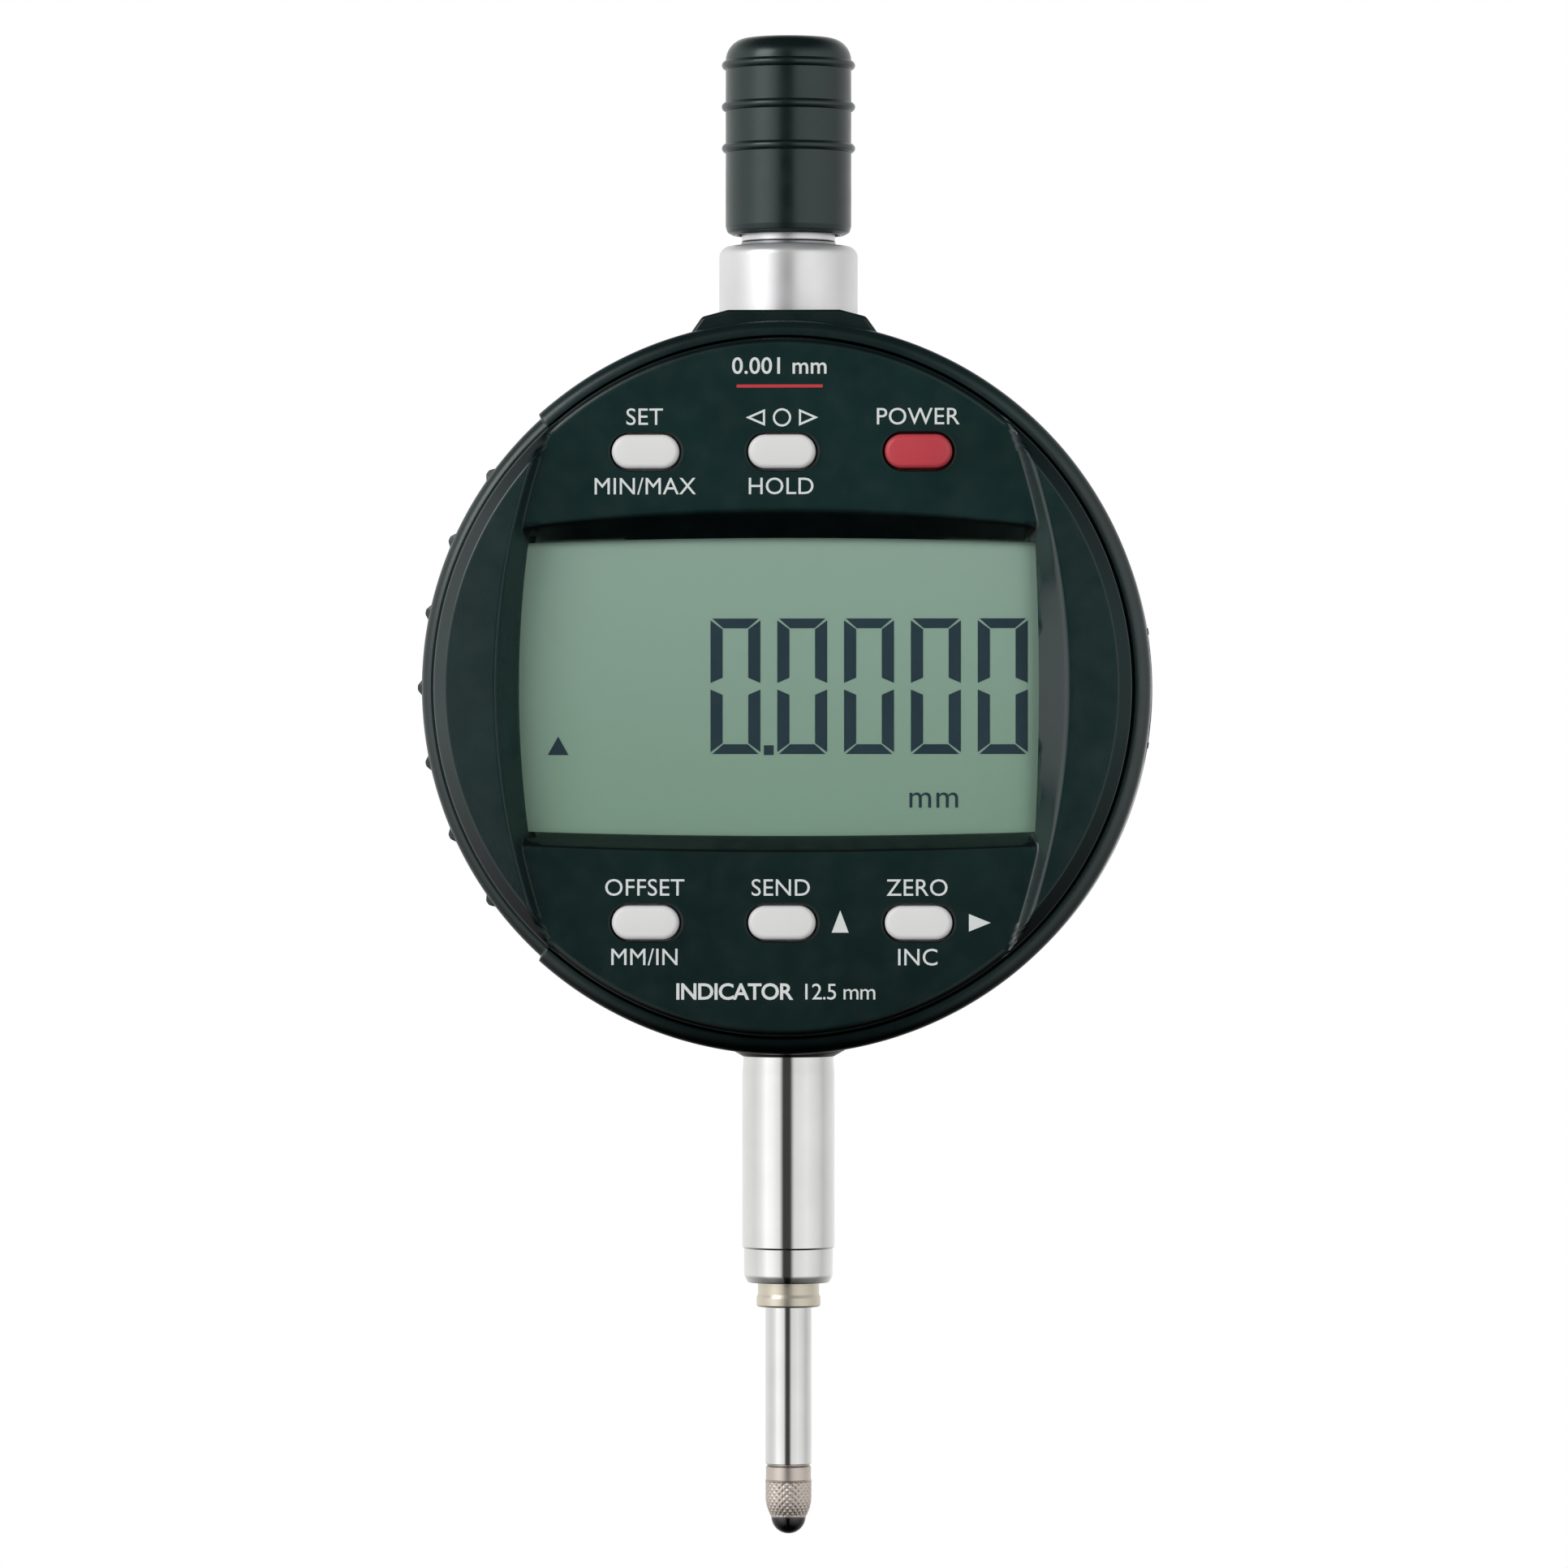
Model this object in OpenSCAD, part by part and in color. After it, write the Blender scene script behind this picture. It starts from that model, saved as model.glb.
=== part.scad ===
// Digital dial indicator: 12.5 mm spindle travel, turning display unit, 8 mm clamping stem.
// Origin: on the spindle axis, inside the stem's clamping length, straight below the dial centre.
// +Z runs up the spindle, the display faces -Y. Depths are measured forward from the spindle axis.

/* [Case] */
// Outer radius of the round case
case_r = 31.5; // [31.4:0.1:32]
// Height of the dial centre above the origin
dial_z = 40; // [40:0.5:42]
// Depth of the case's front lip
lip_depth = 10.2; // [10:0.1:10.6]
// Depth of the case's rear edge
rear_depth = -8; // [-8.4:0.1:-8]
// Radius of the rear cavity
cavity_r = 27.4; // [27.4:0.1:27.6]
// Width of the front lip
lip_w = 1.4; // [1.3:0.05:1.5]

/* [Display unit] */
// Radius of the display unit
disc_r = 29.9; // [29.7:0.05:29.95]
// Depth of the display unit's face
face_depth = 11.5; // [11.4:0.1:11.8]
// Turn from the middle to either stop, in degrees
turn_half = 140; // [90:5:140]
// Half width of the display opening at mid height
view_x = 22.3; // [22:0.1:22.8]
// Half height of the display opening
view_z = 12.75; // [12:0.05:12.8]
// Distance between neighbouring keys
key_pitch = 11.68; // [11.5:0.02:12]
// Height of each row of keys from the dial centre
key_row = 20.13; // [20:0.01:20.4]
// Length of a key cap
key_w = 5.75; // [5.4:0.05:5.9]
// Height of a key cap
key_h = 2.91; // [2.7:0.01:3]
// Distance that a key moves when pressed
key_travel = 0.5; // [0.3:0.1:0.5]

/* [Spindle and stem] */
// Radius of the clamping stem
stem_r = 4; // [4, 4.7625]
// Radius of the spindle
spindle_r = 2; // [1.9:0.05:2]
// Radial running clearance of the spindle in its bushes
bush_gap = 0.03; // [0.02:0.01:0.05]
// Spindle travel
travel = 12.5; // [5:0.5:12.5]
// Radius of the measuring ball
ball_r = 1.5; // [1:0.1:1.5]
// Outer radius of the lifting cap
cap_r = 5.45; // [5.4:0.05:6]

/* [Battery drawer] */
// Radius of the coin cell
cell_r = 12.25; // [12:0.05:12.25]
// Thickness of the coin cell
cell_h = 5; // [3.2:0.1:5]
// Number of grip ribs on the left flank
grip_ribs = 7; // [5:2:7]

/* [Hidden] */
$fn = 64;

case_black = "#1d2e2f";
steel = "#c9cbcc";
brass = "#c9b98a";
board_green = "#2f6b45";
rubber = "#26282a";

fit = 0.02;
slip = 0.15;
cut = 1;

// Case: the front well holds the display unit, and the partition closes the rear cavity.
lip_round = 1.15;
rear_round = 1.4;
well_r = case_r - lip_w;
partition_rear = 4.5;
partition_front = 6;
shelf_depth = -6.8;
plate_r = 28.6;
plate_rear = -8.5;
plate_front = -7.1;
shoulder_r = 32.74;
shoulder_w = 4.6;
boss_z = -31.9;
boss_r = 5;

// Left flank: a shallow recess with pointed ribs, where the drawer's cover sits.
grip_half = 48;
grip_step = 12;
grip_drop = 0.4;
grip_gap = 0.6;
rib_base = 0.8;
rib_tip = 0.12;
cover_in = 30;
cover_rear = -5.9;
cover_front = 5.7;
cell_x = -17;
tray_z = 13.3;
tray_rear = -5.8;
tray_floor = 0.6;
tray_front = tray_rear + tray_floor + cell_h;
tray_end = -4.2;

// Data port on the right flank.
port_z = 6.5;
port_y = 3.5;
port_r = 30.1;
socket_z = 5;
socket_y = 2.5;
socket_x = 29.6;

// Display unit.
cover_back = 7.5;
back_rear = 6.5;
cover_wall = 1.4;
face_thick = 1.5;
inner_r = disc_r - cover_wall;
window_front = 9.9;
window_back = 9.2;
lcd_front = 9.15;
lcd_back = 8.6;
board_front = 8.1;
rim_depth = 11.4;
rim_run = 2;
rim_slope = 43;
cheek_arc = 62.5;
cheek_x = 24.4;
cheek_dome = 400;
cheek_top = 12.8;
side_arc = 130;
key_front = 12.2;
key_back = 9.4;
hub_r = 6;
hub_in = 4.4;
hub_rear = 3.3;
clip_rear = 3.7;
clip_front = 4.3;
stop_track = 24;
stop_peg = 1;

// Fixings, as distances from the dial centre.
case_screw = 18;
post_x = 12.5;
post_z = 20.5;
unit_screw = 17.6;
case_post_r = 2.4;
case_pilot_r = 0.95;
chassis_post_r = 2;
chassis_pilot_r = 0.75;
chassis_rear = -6.4;
chassis_front = -4.9;
board_screw_x = 20;
board_screw_z = 9;

// Spindle line, as radii, then as heights from the dial centre.
shank_r = 3.4;
shank_bore = 2.4;
stem_bore = 2.67;
stem_relief = 0.16;
stem_neck = 0.07;
stem_chamfer = 0.45;
bush_r = 2.65;
collar_r = 6;
collar_round = 1;
collar_shank = 4.9;
collar_bore = 3.8;
thread_r = 1.26;
stem_end = -51.5;
stem_step = -48.5;
stem_top = -26.4;
clamp_top = -33.1;
bush_end = -53.6;
bush_top = -43;
spindle_end = -67.4;
spindle_top = 53.9;
ball_z = -71.8;
collar_top = 38.35;
neck_ring_h = 0.45;
neck_groove = 0.4;
collar_low = 30.5;
spring_seat = 33;
carrier_low = -8;
carrier_top = 8;
neck_top = 52.5;
neck_r = 4.05;
neck_bore = 3.2;
cap_low = 39.3;
cap_top = 56.4;
cap_round = 2.2;
rib_low = 46.85;
rib_pitch = 3.6;
stop_z = -25.15;

// Places a shape on the dial axis, facing forward, at a depth in front of the spindle axis.
module facing(depth = 0) {
    translate([0, 0, dial_z]) rotate([90, 0, 0]) translate([0, 0, depth]) children();
}

// Extrudes a flat outline between two depths.
module slab(rear, front) {
    facing(rear) linear_extrude(front - rear) children();
}

// Disc and ring about the dial axis, between two depths.
module disc(r, rear, front) {
    slab(rear, front) circle(r, $fn = 128);
}

module ring(r_out, r_in, rear, front) {
    slab(rear, front) difference() {
        circle(r_out, $fn = 128);
        circle(r_in, $fn = 128);
    }
}

// Sector of a ring about the dial axis, centred on an angle.
module sector(r_out, r_in, rear, front, middle, half) {
    facing() rotate([0, 0, middle - half]) rotate_extrude(angle = 2 * half, $fn = 128)
        translate([r_in, rear]) square([r_out - r_in, front - rear]);
}

// Upright rod and tube on the spindle axis, between two heights from the dial centre.
module rod(r, low, high) {
    translate([0, 0, dial_z + low]) cylinder(h = high - low, r = r);
}

module tube(r_out, r_in, low, high) {
    difference() {
        rod(r_out, low, high);
        rod(r_in, low - cut, high + cut);
    }
}

// Body turned about the spindle axis from an outline of radius and height from the dial centre.
module turned() {
    translate([0, 0, dial_z]) rotate_extrude() children();
}

// Box from two corners, as x, depth and height from the dial centre.
module block(x0, x1, rear, front, z0, z1) {
    translate([x0, -front, dial_z + z0]) cube([x1 - x0, front - rear, z1 - z0]);
}

// Outline with round ends.
module stadium(w, h) {
    square([w - h, h], center = true);
    for (side = [-1, 1]) translate([side * (w - h) / 2, 0]) circle(h / 2, $fn = 48);
}

// Repeats a shape at the four places (+-x, +-z) round the dial centre.
module four(x, z) {
    for (sx = [-1, 1], sz = [-1, 1]) translate([sx * x, 0, sz * z]) children();
}

// Screw along the dial axis direction: the head's outer face is at head_at, the tip at tip_at.
module screw(head_at, tip_at, head_r, head_h, shank_r) {
    way = sign(tip_at - head_at);
    seat = head_at + way * head_h;
    cross_at = head_at + way * head_h * 0.6;
    difference() {
        union() {
            disc(head_r, min(head_at, seat), max(head_at, seat));
            disc(shank_r, min(seat, tip_at), max(seat, tip_at));
        }
        for (turn = [0, 90])
            slab(min(head_at, cross_at), max(head_at, cross_at))
                rotate(turn) square([head_r * 1.2, head_r * 0.3], center = true);
    }
}

// Pointed grip ribs on the left flank.
module grip_ribs(rear, front) {
    low_r = case_r - grip_drop;
    for (i = [0 : grip_ribs - 1])
        slab(rear, front) rotate(180 + (i - (grip_ribs - 1) / 2) * grip_step)
            polygon([
                [low_r - 0.2, -rib_base], [low_r, -rib_base], [case_r, -rib_tip],
                [case_r, rib_tip], [low_r, rib_base], [low_r - 0.2, rib_base]
            ]);
}

module case_outline() {
    translate([0, rear_depth + rear_round])
        square([case_r, lip_depth - lip_round - rear_depth - rear_round]);
    translate([0, rear_depth]) square([case_r - rear_round, rear_round + cut]);
    translate([case_r - rear_round, rear_depth + rear_round]) circle(rear_round);
    translate([case_r - lip_round, lip_depth - lip_round]) circle(lip_round);
    translate([0, lip_depth - lip_round - cut]) square([case_r - lip_round, lip_round + cut]);
}

module shoulder() {
    slab(rear_depth + 1.5, lip_depth - 1.8) intersection() {
        circle(shoulder_r, $fn = 256);
        polygon([
            [-8.05, 28], [8.05, 28], [8.05, 30.4], [7.05, 31.85], [shoulder_w, 32.45],
            [shoulder_w, 33], [-shoulder_w, 33], [-shoulder_w, 32.45], [-7.05, 31.85], [-8.05, 30.4]
        ]);
    }
}

module case_hollows() {
    disc(well_r, partition_front, lip_depth + cut);
    disc(cavity_r, shelf_depth - cut, partition_rear);
    disc(plate_r + 0.1, rear_depth - cut, shelf_depth);
    disc(hub_r + 0.06, partition_rear - cut, partition_front + cut);
    sector(stop_track + 1.2, stop_track - 1.2, 5, partition_front + cut, -90, turn_half + 2.6);
}

module case_posts() {
    intersection() {
        disc(cavity_r + 0.5, shelf_depth, partition_rear + 0.1);
        union() {
            four(case_screw, case_screw) disc(case_post_r, shelf_depth, partition_rear + 0.1);
            four(post_x, post_z) disc(chassis_post_r, chassis_front, partition_rear + 0.1);
            for (side = [-1, 1])
                block(-26.8, -5, -6.5, partition_rear + 0.1, side * 14.25 - 0.7, side * 14.25 + 0.7);
        }
    }
}

module case_openings() {
    rod(shank_r + fit, boss_z - cut, stem_top + 0.4);
    rod(collar_shank + fit, 26, collar_low + cut);
    rod(collar_r + fit, collar_low, collar_top);
    sector(33, case_r - grip_drop, rear_depth - cut, lip_depth + cut, 180, grip_half);
    sector(33, cover_in - 0.2, cover_rear - slip, cover_front + slip, 180, grip_half);
    block(-33, -22, tray_rear - slip, tray_front + slip, -tray_z - slip, tray_z + slip);
    difference() {
        port_plug(33, slip);
        disc(port_r - 0.15, -10, 12);
    }
    block(20, 31, -socket_y - slip, socket_y + slip, -socket_z - slip, socket_z + slip);
    four(case_screw, case_screw) disc(case_pilot_r, shelf_depth - cut, 1);
    four(post_x, post_z) disc(chassis_pilot_r, chassis_front - cut, 0);
    for (side = [-1, 1]) translate([board_screw_x, 0, side * board_screw_z]) disc(0.65, 4, 5.4);
}

module housing() {
    color(case_black) {
        difference() {
            union() {
                difference() {
                    union() {
                        facing() rotate_extrude($fn = 128) case_outline();
                        shoulder();
                        rod(boss_r, boss_z, -28);
                    }
                    case_hollows();
                }
                case_posts();
            }
            case_openings();
        }
        grip_ribs(cover_front + slip, lip_depth - 1.6);
    }
}

module back_plate() {
    color(case_black) difference() {
        union() {
            disc(plate_r, plate_rear + 0.3, plate_front);
            disc(plate_r - 0.4, plate_rear, plate_rear + 0.4);
        }
        four(case_screw, case_screw) disc(1.1, plate_rear - cut, plate_front + cut);
        four(case_screw, case_screw) disc(2.1, plate_rear - cut, plate_rear + 0.9);
    }
}

module back_gasket() {
    color(rubber) difference() {
        ring(plate_r - 0.1, cavity_r + 0.1, plate_front, shelf_depth);
        four(case_screw, case_screw) disc(2.5, plate_front - cut, shelf_depth + cut);
    }
}

module back_screws() {
    color(steel) four(case_screw, case_screw) screw(plate_rear + 0.05, -2, 1.9, 0.85, 0.9);
}

// Plate behind the spindle, with the slot that keeps the spindle from turning.
module chassis_plate() {
    color("#9aa0a3") slab(chassis_rear, chassis_front) difference() {
        union() {
            translate([-3.6, -22]) square([10.6, 44]);
            for (side = [-1, 1]) {
                translate([-post_x, side * post_z - 2.2]) square([2 * post_x, 4.4]);
                for (end = [-1, 1]) translate([end * post_x, side * post_z]) circle(2.2);
            }
        }
        translate([0, travel / 2]) rotate(90) stadium(travel + 2.1, 2.1);
        for (sx = [-1, 1], sz = [-1, 1]) translate([sx * post_x, sz * post_z]) circle(0.85);
    }
}

module chassis_screws() {
    color(steel) four(post_x, post_z) screw(chassis_rear - 0.6, -1, 1.4, 0.6, 0.72);
}

// Clamping stem between a slightly tapered neck at its top and a tapered relief at its end.
module mounting_stem() {
    relief_r = stem_r - stem_relief;
    neck_low_r = stem_r - stem_neck;
    taper = 0.02;
    color(steel) difference() {
        turned() {
            translate([0, stem_step]) square([stem_r, clamp_top - stem_step]);
            polygon([
                [0, stem_end], [relief_r - stem_chamfer, stem_end],
                [relief_r, stem_end + stem_chamfer], [relief_r + taper, stem_step], [0, stem_step]
            ]);
            polygon([[0, clamp_top], [neck_low_r, clamp_top], [neck_low_r - taper, boss_z], [0, boss_z]]);
            translate([0, boss_z - 0.1]) square([shank_r, stem_top - boss_z + 0.1]);
        }
        rod(stem_bore, stem_end - cut, bush_top);
        rod(shank_bore, bush_top - cut, stem_top + cut);
    }
}

module stem_bush() {
    color(brass) difference() {
        turned() polygon([
            [0, bush_end], [bush_r, bush_end], [bush_r + 0.12, bush_end + 0.12],
            [bush_r + 0.12, bush_end + 0.8], [bush_r, bush_end + 1.1], [bush_r, bush_top], [0, bush_top]
        ]);
        rod(spindle_r + bush_gap, bush_end - cut, bush_top + cut);
    }
}

module buffer_washer() {
    color(rubber) tube(3.3, 2.4, stem_top, stop_z - 0.1);
}

module upper_collar() {
    color(steel) difference() {
        turned() union() {
            translate([0, collar_low]) square([collar_r, collar_top - collar_low - collar_round]);
            translate([collar_r - collar_round, collar_top - collar_round]) circle(collar_round);
            translate([0, collar_top - 2]) square([collar_r - collar_round, 2]);
            translate([0, 27]) square([collar_shank, collar_low - 26.9]);
        }
        rod(collar_bore, 26, spring_seat);
        rod(2.5, 26, collar_top + cut);
        rod(neck_r + fit, spring_seat + 1, collar_top + cut);
    }
}

module neck_ring() {
    color("#74797c")
        tube(neck_r + 0.05, neck_r - neck_groove + fit, collar_top, collar_top + neck_ring_h);
}

module upper_neck() {
    color(steel) difference() {
        turned() polygon([
            [0, spring_seat + 1], [neck_r, spring_seat + 1], [neck_r, neck_top - 0.4],
            [neck_r - 0.4, neck_top], [0, neck_top]
        ]);
        rod(neck_bore, spring_seat, neck_top + cut);
        tube(neck_r + cut, neck_r - neck_groove, collar_top, collar_top + neck_ring_h);
    }
}

module upper_bush() {
    color(brass) tube(neck_bore - fit, spindle_r + bush_gap, neck_top - 5, neck_top - 0.3);
}

// Helical return spring, swept as a ring of points along the coil.
spring_r = 3;
wire_r = 0.25;
spring_turns = 9;
spring_sides = 6;
spring_steps = 16;
spring_rise = spring_seat - carrier_top - 2 * wire_r - 0.1;
function coil_point(i, j) =
    let (turn = 360 * i / spring_steps, around = 360 * j / spring_sides)
    let (r = spring_r + wire_r * cos(around))
    [r * cos(turn), r * sin(turn), spring_rise * i / (spring_turns * spring_steps) + wire_r * sin(around)];

module return_spring() {
    rings = spring_turns * spring_steps;
    points = [for (i = [0 : rings], j = [0 : spring_sides - 1]) coil_point(i, j)];
    walls = [for (i = [0 : rings - 1], j = [0 : spring_sides - 1]) let (k = (j + 1) % spring_sides) [
        i * spring_sides + j, (i + 1) * spring_sides + j,
        (i + 1) * spring_sides + k, i * spring_sides + k
    ]];
    first_end = [for (j = [0 : spring_sides - 1]) j];
    last_end = [for (j = [0 : spring_sides - 1]) rings * spring_sides + spring_sides - 1 - j];
    color("#8d9296") translate([0, 0, dial_z + carrier_top + wire_r + 0.05])
        polyhedron(points, concat(walls, [first_end, last_end]));
}

module encoder_board() {
    color(board_green) difference() {
        block(8.2, 22, 3.3, 4.1, -11, 11);
        for (side = [-1, 1]) translate([board_screw_x, 0, side * board_screw_z]) disc(0.8, 3, 5);
    }
}

module read_head() {
    color("#202224") {
        block(4.8, 12.5, 1.7, 3.3, -5, 5);
        for (i = [-3 : 3]) block(12.5, 13.4, 3.1, 3.3, i * 1.27 - 0.2, i * 1.27 + 0.2);
    }
}

module board_screws() {
    color(steel) for (side = [-1, 1])
        translate([board_screw_x, 0, side * board_screw_z]) screw(2.6, 5.3, 1.2, 0.7, 0.6);
}

module data_socket() {
    color("#2b2d2f") {
        difference() {
            block(20.5, socket_x, -socket_y, socket_y, -socket_z, socket_z);
            block(25.5, socket_x + cut, -1.8, 1.8, -4.2, 4.2);
        }
        block(20.5, 21.9, socket_y - 0.01, 3.3, -4, 4);
    }
    color("gold") for (i = [-2 : 2], side = [-1, 1])
        block(25.4, 28.4, side * 1.65 - 0.15, side * 1.65 + 0.15, i * 1.5 - 0.25, i * 1.5 + 0.25);
}

// Two leaf contacts that reach from the partition to the coin cell's face.
module battery_contacts() {
    touch = tray_front - 0.6 + 0.75;
    color("#d3c27a") for (side = [-1, 1])
        translate([0, 0, dial_z + side * 6 - 1.2]) linear_extrude(2.4) polygon([
            [-7, -partition_rear], [-7, 0.3 - partition_rear], [-11.2, 0.3 - partition_rear],
            [-13, -touch], [-16, -touch], [-16, -touch - 0.3], [-13.2, -touch - 0.3],
            [-11.4, -partition_rear]
        ]);
}

module spindle() {
    color(steel) difference() {
        rod(spindle_r, spindle_end, spindle_top);
        rod(thread_r, spindle_end - cut, spindle_end + 4.6);
        rod(0.8, spindle_top - 4, spindle_top + cut);
        tube(spindle_r + cut, 1.7, stop_z - 0.02, stop_z + 0.82);
    }
}

module stop_ring() {
    color(steel) tube(3.2, 1.72, stop_z, stop_z + 0.8);
}

// Block clamped on the spindle, with the arm that carries the scale.
module scale_carrier() {
    color("#aeb4b7") difference() {
        union() {
            block(-3.8, 4.5, -3.4, 2.8, carrier_low, carrier_top);
            block(4, 9.5, -1, 0.3, -16, 12);
        }
        rod(spindle_r + fit, -20, 20);
        block(-4.8, -1, -0.3, 0.3, carrier_low - cut, carrier_top + cut);
        translate([-2.9, 0, dial_z]) rotate([90, 0, 0]) cylinder(h = 8, r = 0.62, center = true);
        facing() cylinder(h = 10, r = 1.02, center = true);
    }
}

module carrier_screw() {
    color(steel) translate([-2.9, 0, 0]) screw(-4, 2.4, 1, 0.6, 0.6);
}

module encoder_scale() {
    color("#c8d2da") block(5, 9.5, 0.3, 1.4, -16, 12);
}

module guide_pin() {
    color(steel) disc(1, -6.2, -spindle_r - fit);
}

module contact_holder() {
    color("#9c9187") difference() {
        turned() polygon([
            [0, ball_z - 0.15], [1.45, ball_z - 0.15], [1.72, ball_z + 0.55], [1.93, ball_z + 1.2],
            [2.02, ball_z + 1.7], [2.02, spindle_end - 1.3], [1.95, spindle_end - 1.3],
            [1.95, spindle_end - 0.1],
            [thread_r - fit, spindle_end], [thread_r - fit, spindle_end + 4.4], [0, spindle_end + 4.4]
        ]);
        translate([0, 0, dial_z + ball_z]) sphere(ball_r + 0.01);
    }
}

module contact_ball() {
    color("#2a2c30") translate([0, 0, dial_z + ball_z]) sphere(ball_r);
}

// Lifting cap that slides over the neck as the spindle rises.
module lifting_cap() {
    color("#16211f") difference() {
        turned() {
            polygon([
                [0, cap_low], [cap_r - 0.8, cap_low], [cap_r - 0.25, cap_low + 0.2], [cap_r, cap_low + 0.7],
                [cap_r, cap_top - cap_round], [0, cap_top - cap_round]
            ]);
            translate([0, cap_top - cap_round - 1]) square([cap_r - cap_round, cap_round + 1]);
            translate([cap_r - cap_round, cap_top - cap_round]) circle(cap_round);
            for (rib = [0 : 2]) translate([cap_r, rib_low + rib * rib_pitch]) circle(0.34, $fn = 32);
        }
        rod(neck_r + 0.4, cap_low - cut, spindle_top);
        rod(1.05, 50, 60);
        rod(2, cap_top - 1.2, 60);
    }
}

module cap_screw() {
    color(steel) difference() {
        union() {
            rod(1.9, cap_top - 1.2, cap_top - 0.3);
            rod(0.78, spindle_top - 3.6, cap_top - 1.1);
        }
        for (turn = [0, 90]) translate([0, 0, dial_z + cap_top - 0.6]) rotate(turn)
            cube([2.6, 0.5, 0.8], center = true);
    }
}

// Outline of the display opening: straight top and bottom, bowed sides.
module view_outline(grow_x, grow_top, grow_bottom) {
    intersection() {
        translate([-30, -view_z - grow_bottom]) square([60, 2 * view_z + grow_top + grow_bottom]);
        translate([view_x + grow_x - side_arc, 0]) circle(side_arc, $fn = 256);
        translate([side_arc - view_x - grow_x, 0]) circle(side_arc, $fn = 256);
    }
}

// Raised crescents beside the display, highest at their inner edge.
module cheeks() {
    drop = cheek_dome - sqrt(cheek_dome * cheek_dome - cheek_x * cheek_x);
    intersection() {
        slab(face_depth - 0.5, cheek_top + cut) difference() {
            circle(disc_r + cut, $fn = 128);
            intersection() {
                translate([cheek_x - cheek_arc, 0]) circle(cheek_arc, $fn = 256);
                translate([cheek_arc - cheek_x, 0]) circle(cheek_arc, $fn = 256);
            }
        }
        facing(cheek_top + drop - cheek_dome) sphere(cheek_dome, $fn = 256);
    }
}

// Outer limit of the cover: straight sides, then a bevel from the face up to the cheeks.
module cover_limit() {
    top = rim_depth + rim_run * tan(rim_slope);
    facing() rotate_extrude($fn = 128) polygon([
        [0, cover_back], [disc_r, cover_back], [disc_r, rim_depth], [disc_r - rim_run, top], [0, top]
    ]);
}

module key_places() {
    for (i = [-1 : 1], row = [-1, 1]) translate([i * key_pitch, row * key_row]) children();
}

module front_cover() {
    color(case_black) difference() {
        union() {
            difference() {
                intersection() {
                    union() {
                        disc(disc_r + cut, cover_back, face_depth);
                        cheeks();
                    }
                    cover_limit();
                }
                disc(inner_r, cover_back - cut, face_depth - face_thick);
            }
            slab(window_front, face_depth - face_thick + 0.2) intersection() {
                circle(inner_r + 0.2, $fn = 128);
                square([50, 30], center = true);
            }
            four(unit_screw, unit_screw) disc(2, cover_back, face_depth - face_thick + 0.1);
        }
        slab(window_front - cut, face_depth) view_outline(0, 0, 0);
        hull() {
            slab(window_front + 0.1, window_front + 0.2) view_outline(0.1, 0.1, 0.1);
            slab(cheek_top + 0.4, cheek_top + 0.5) view_outline(2.3, 3.6, 2.2);
        }
        slab(window_front - cut, face_depth + cut) key_places() stadium(key_w + 0.3, key_h + 0.3);
        four(unit_screw, unit_screw) disc(0.78, cover_back - cut, 9.6);
    }
}

module display_window() {
    color([0.75, 0.85, 0.85, 0.35]) slab(window_back, window_front) square([48, 27.2], center = true);
}

module lcd_panel() {
    color("#7f998a") slab(lcd_back, lcd_front) square([47.2, 26.6], center = true);
}

module lcd_frame() {
    color("#e4e4de") slab(board_front, lcd_front) difference() {
        intersection() {
            square([50.4, 28.8], center = true);
            circle(inner_r - 0.2, $fn = 128);
        }
        square([47.3, 26.7], center = true);
    }
}

module lcd_strips() {
    color("#d98a9a") for (side = [-1, 1])
        block(-22, 22, board_front, lcd_back, side * 12 - 1, side * 12 + 1);
}

module main_board() {
    color(board_green) slab(cover_back, board_front) difference() {
        circle(inner_r - 0.3, $fn = 128);
        for (sx = [-1, 1], sz = [-1, 1]) translate([sx * unit_screw, sz * unit_screw]) circle(2.2);
        circle(hub_in);
    }
}

module keypad_mat() {
    color("#b9bdbd") {
        for (row = [-1, 1])
            block(-15.3, 15.3, board_front, board_front + 0.4, row * key_row - 2.6, row * key_row + 2.6);
        slab(board_front + 0.3, key_back - key_travel - 0.05) key_places() stadium(4.6, 2.2);
    }
}

module display_back() {
    color("#26302f") difference() {
        union() {
            disc(disc_r, back_rear, cover_back);
            disc(hub_r, hub_rear, back_rear + 0.1);
            translate([0, 0, -stop_track]) disc(stop_peg, 5.2, back_rear + 0.1);
        }
        disc(hub_in, hub_rear - cut, cover_back + cut);
        ring(hub_r + cut, hub_r - 0.6, clip_rear - fit, clip_front + fit);
        ring(27.65, 26.55, back_rear - cut, back_rear + 0.4);
        four(unit_screw, unit_screw) disc(0.85, back_rear - cut, cover_back + cut);
        four(unit_screw, unit_screw) disc(1.6, back_rear - cut, back_rear + 0.6);
    }
}

module hub_clip() {
    color(steel) slab(clip_rear, clip_front) difference() {
        circle(hub_r + 1.2);
        circle(hub_r - 0.6 + fit);
        translate([0, -hub_r]) square([5, 6], center = true);
    }
}

module turn_seal() {
    color(rubber) ring(27.6, 26.6, partition_front + 0.05, back_rear + 0.4);
}

module display_screws() {
    color(steel) four(unit_screw, unit_screw) screw(back_rear + 0.05, 9.5, 1.5, 0.5, 0.76);
}

// Key cap with a flange under the cover, so it can't fall out.
module key_cap(column, row, tint) {
    place = [column * key_pitch, row * key_row];
    color(tint) {
        slab(key_back, key_front - 0.25) translate(place) stadium(key_w, key_h);
        slab(key_front - 0.26, key_front) translate(place) stadium(key_w - 0.5, key_h - 0.5);
        slab(key_back, face_depth - face_thick - 0.1) translate(place) stadium(key_w + 1, key_h + 1);
    }
}

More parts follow.
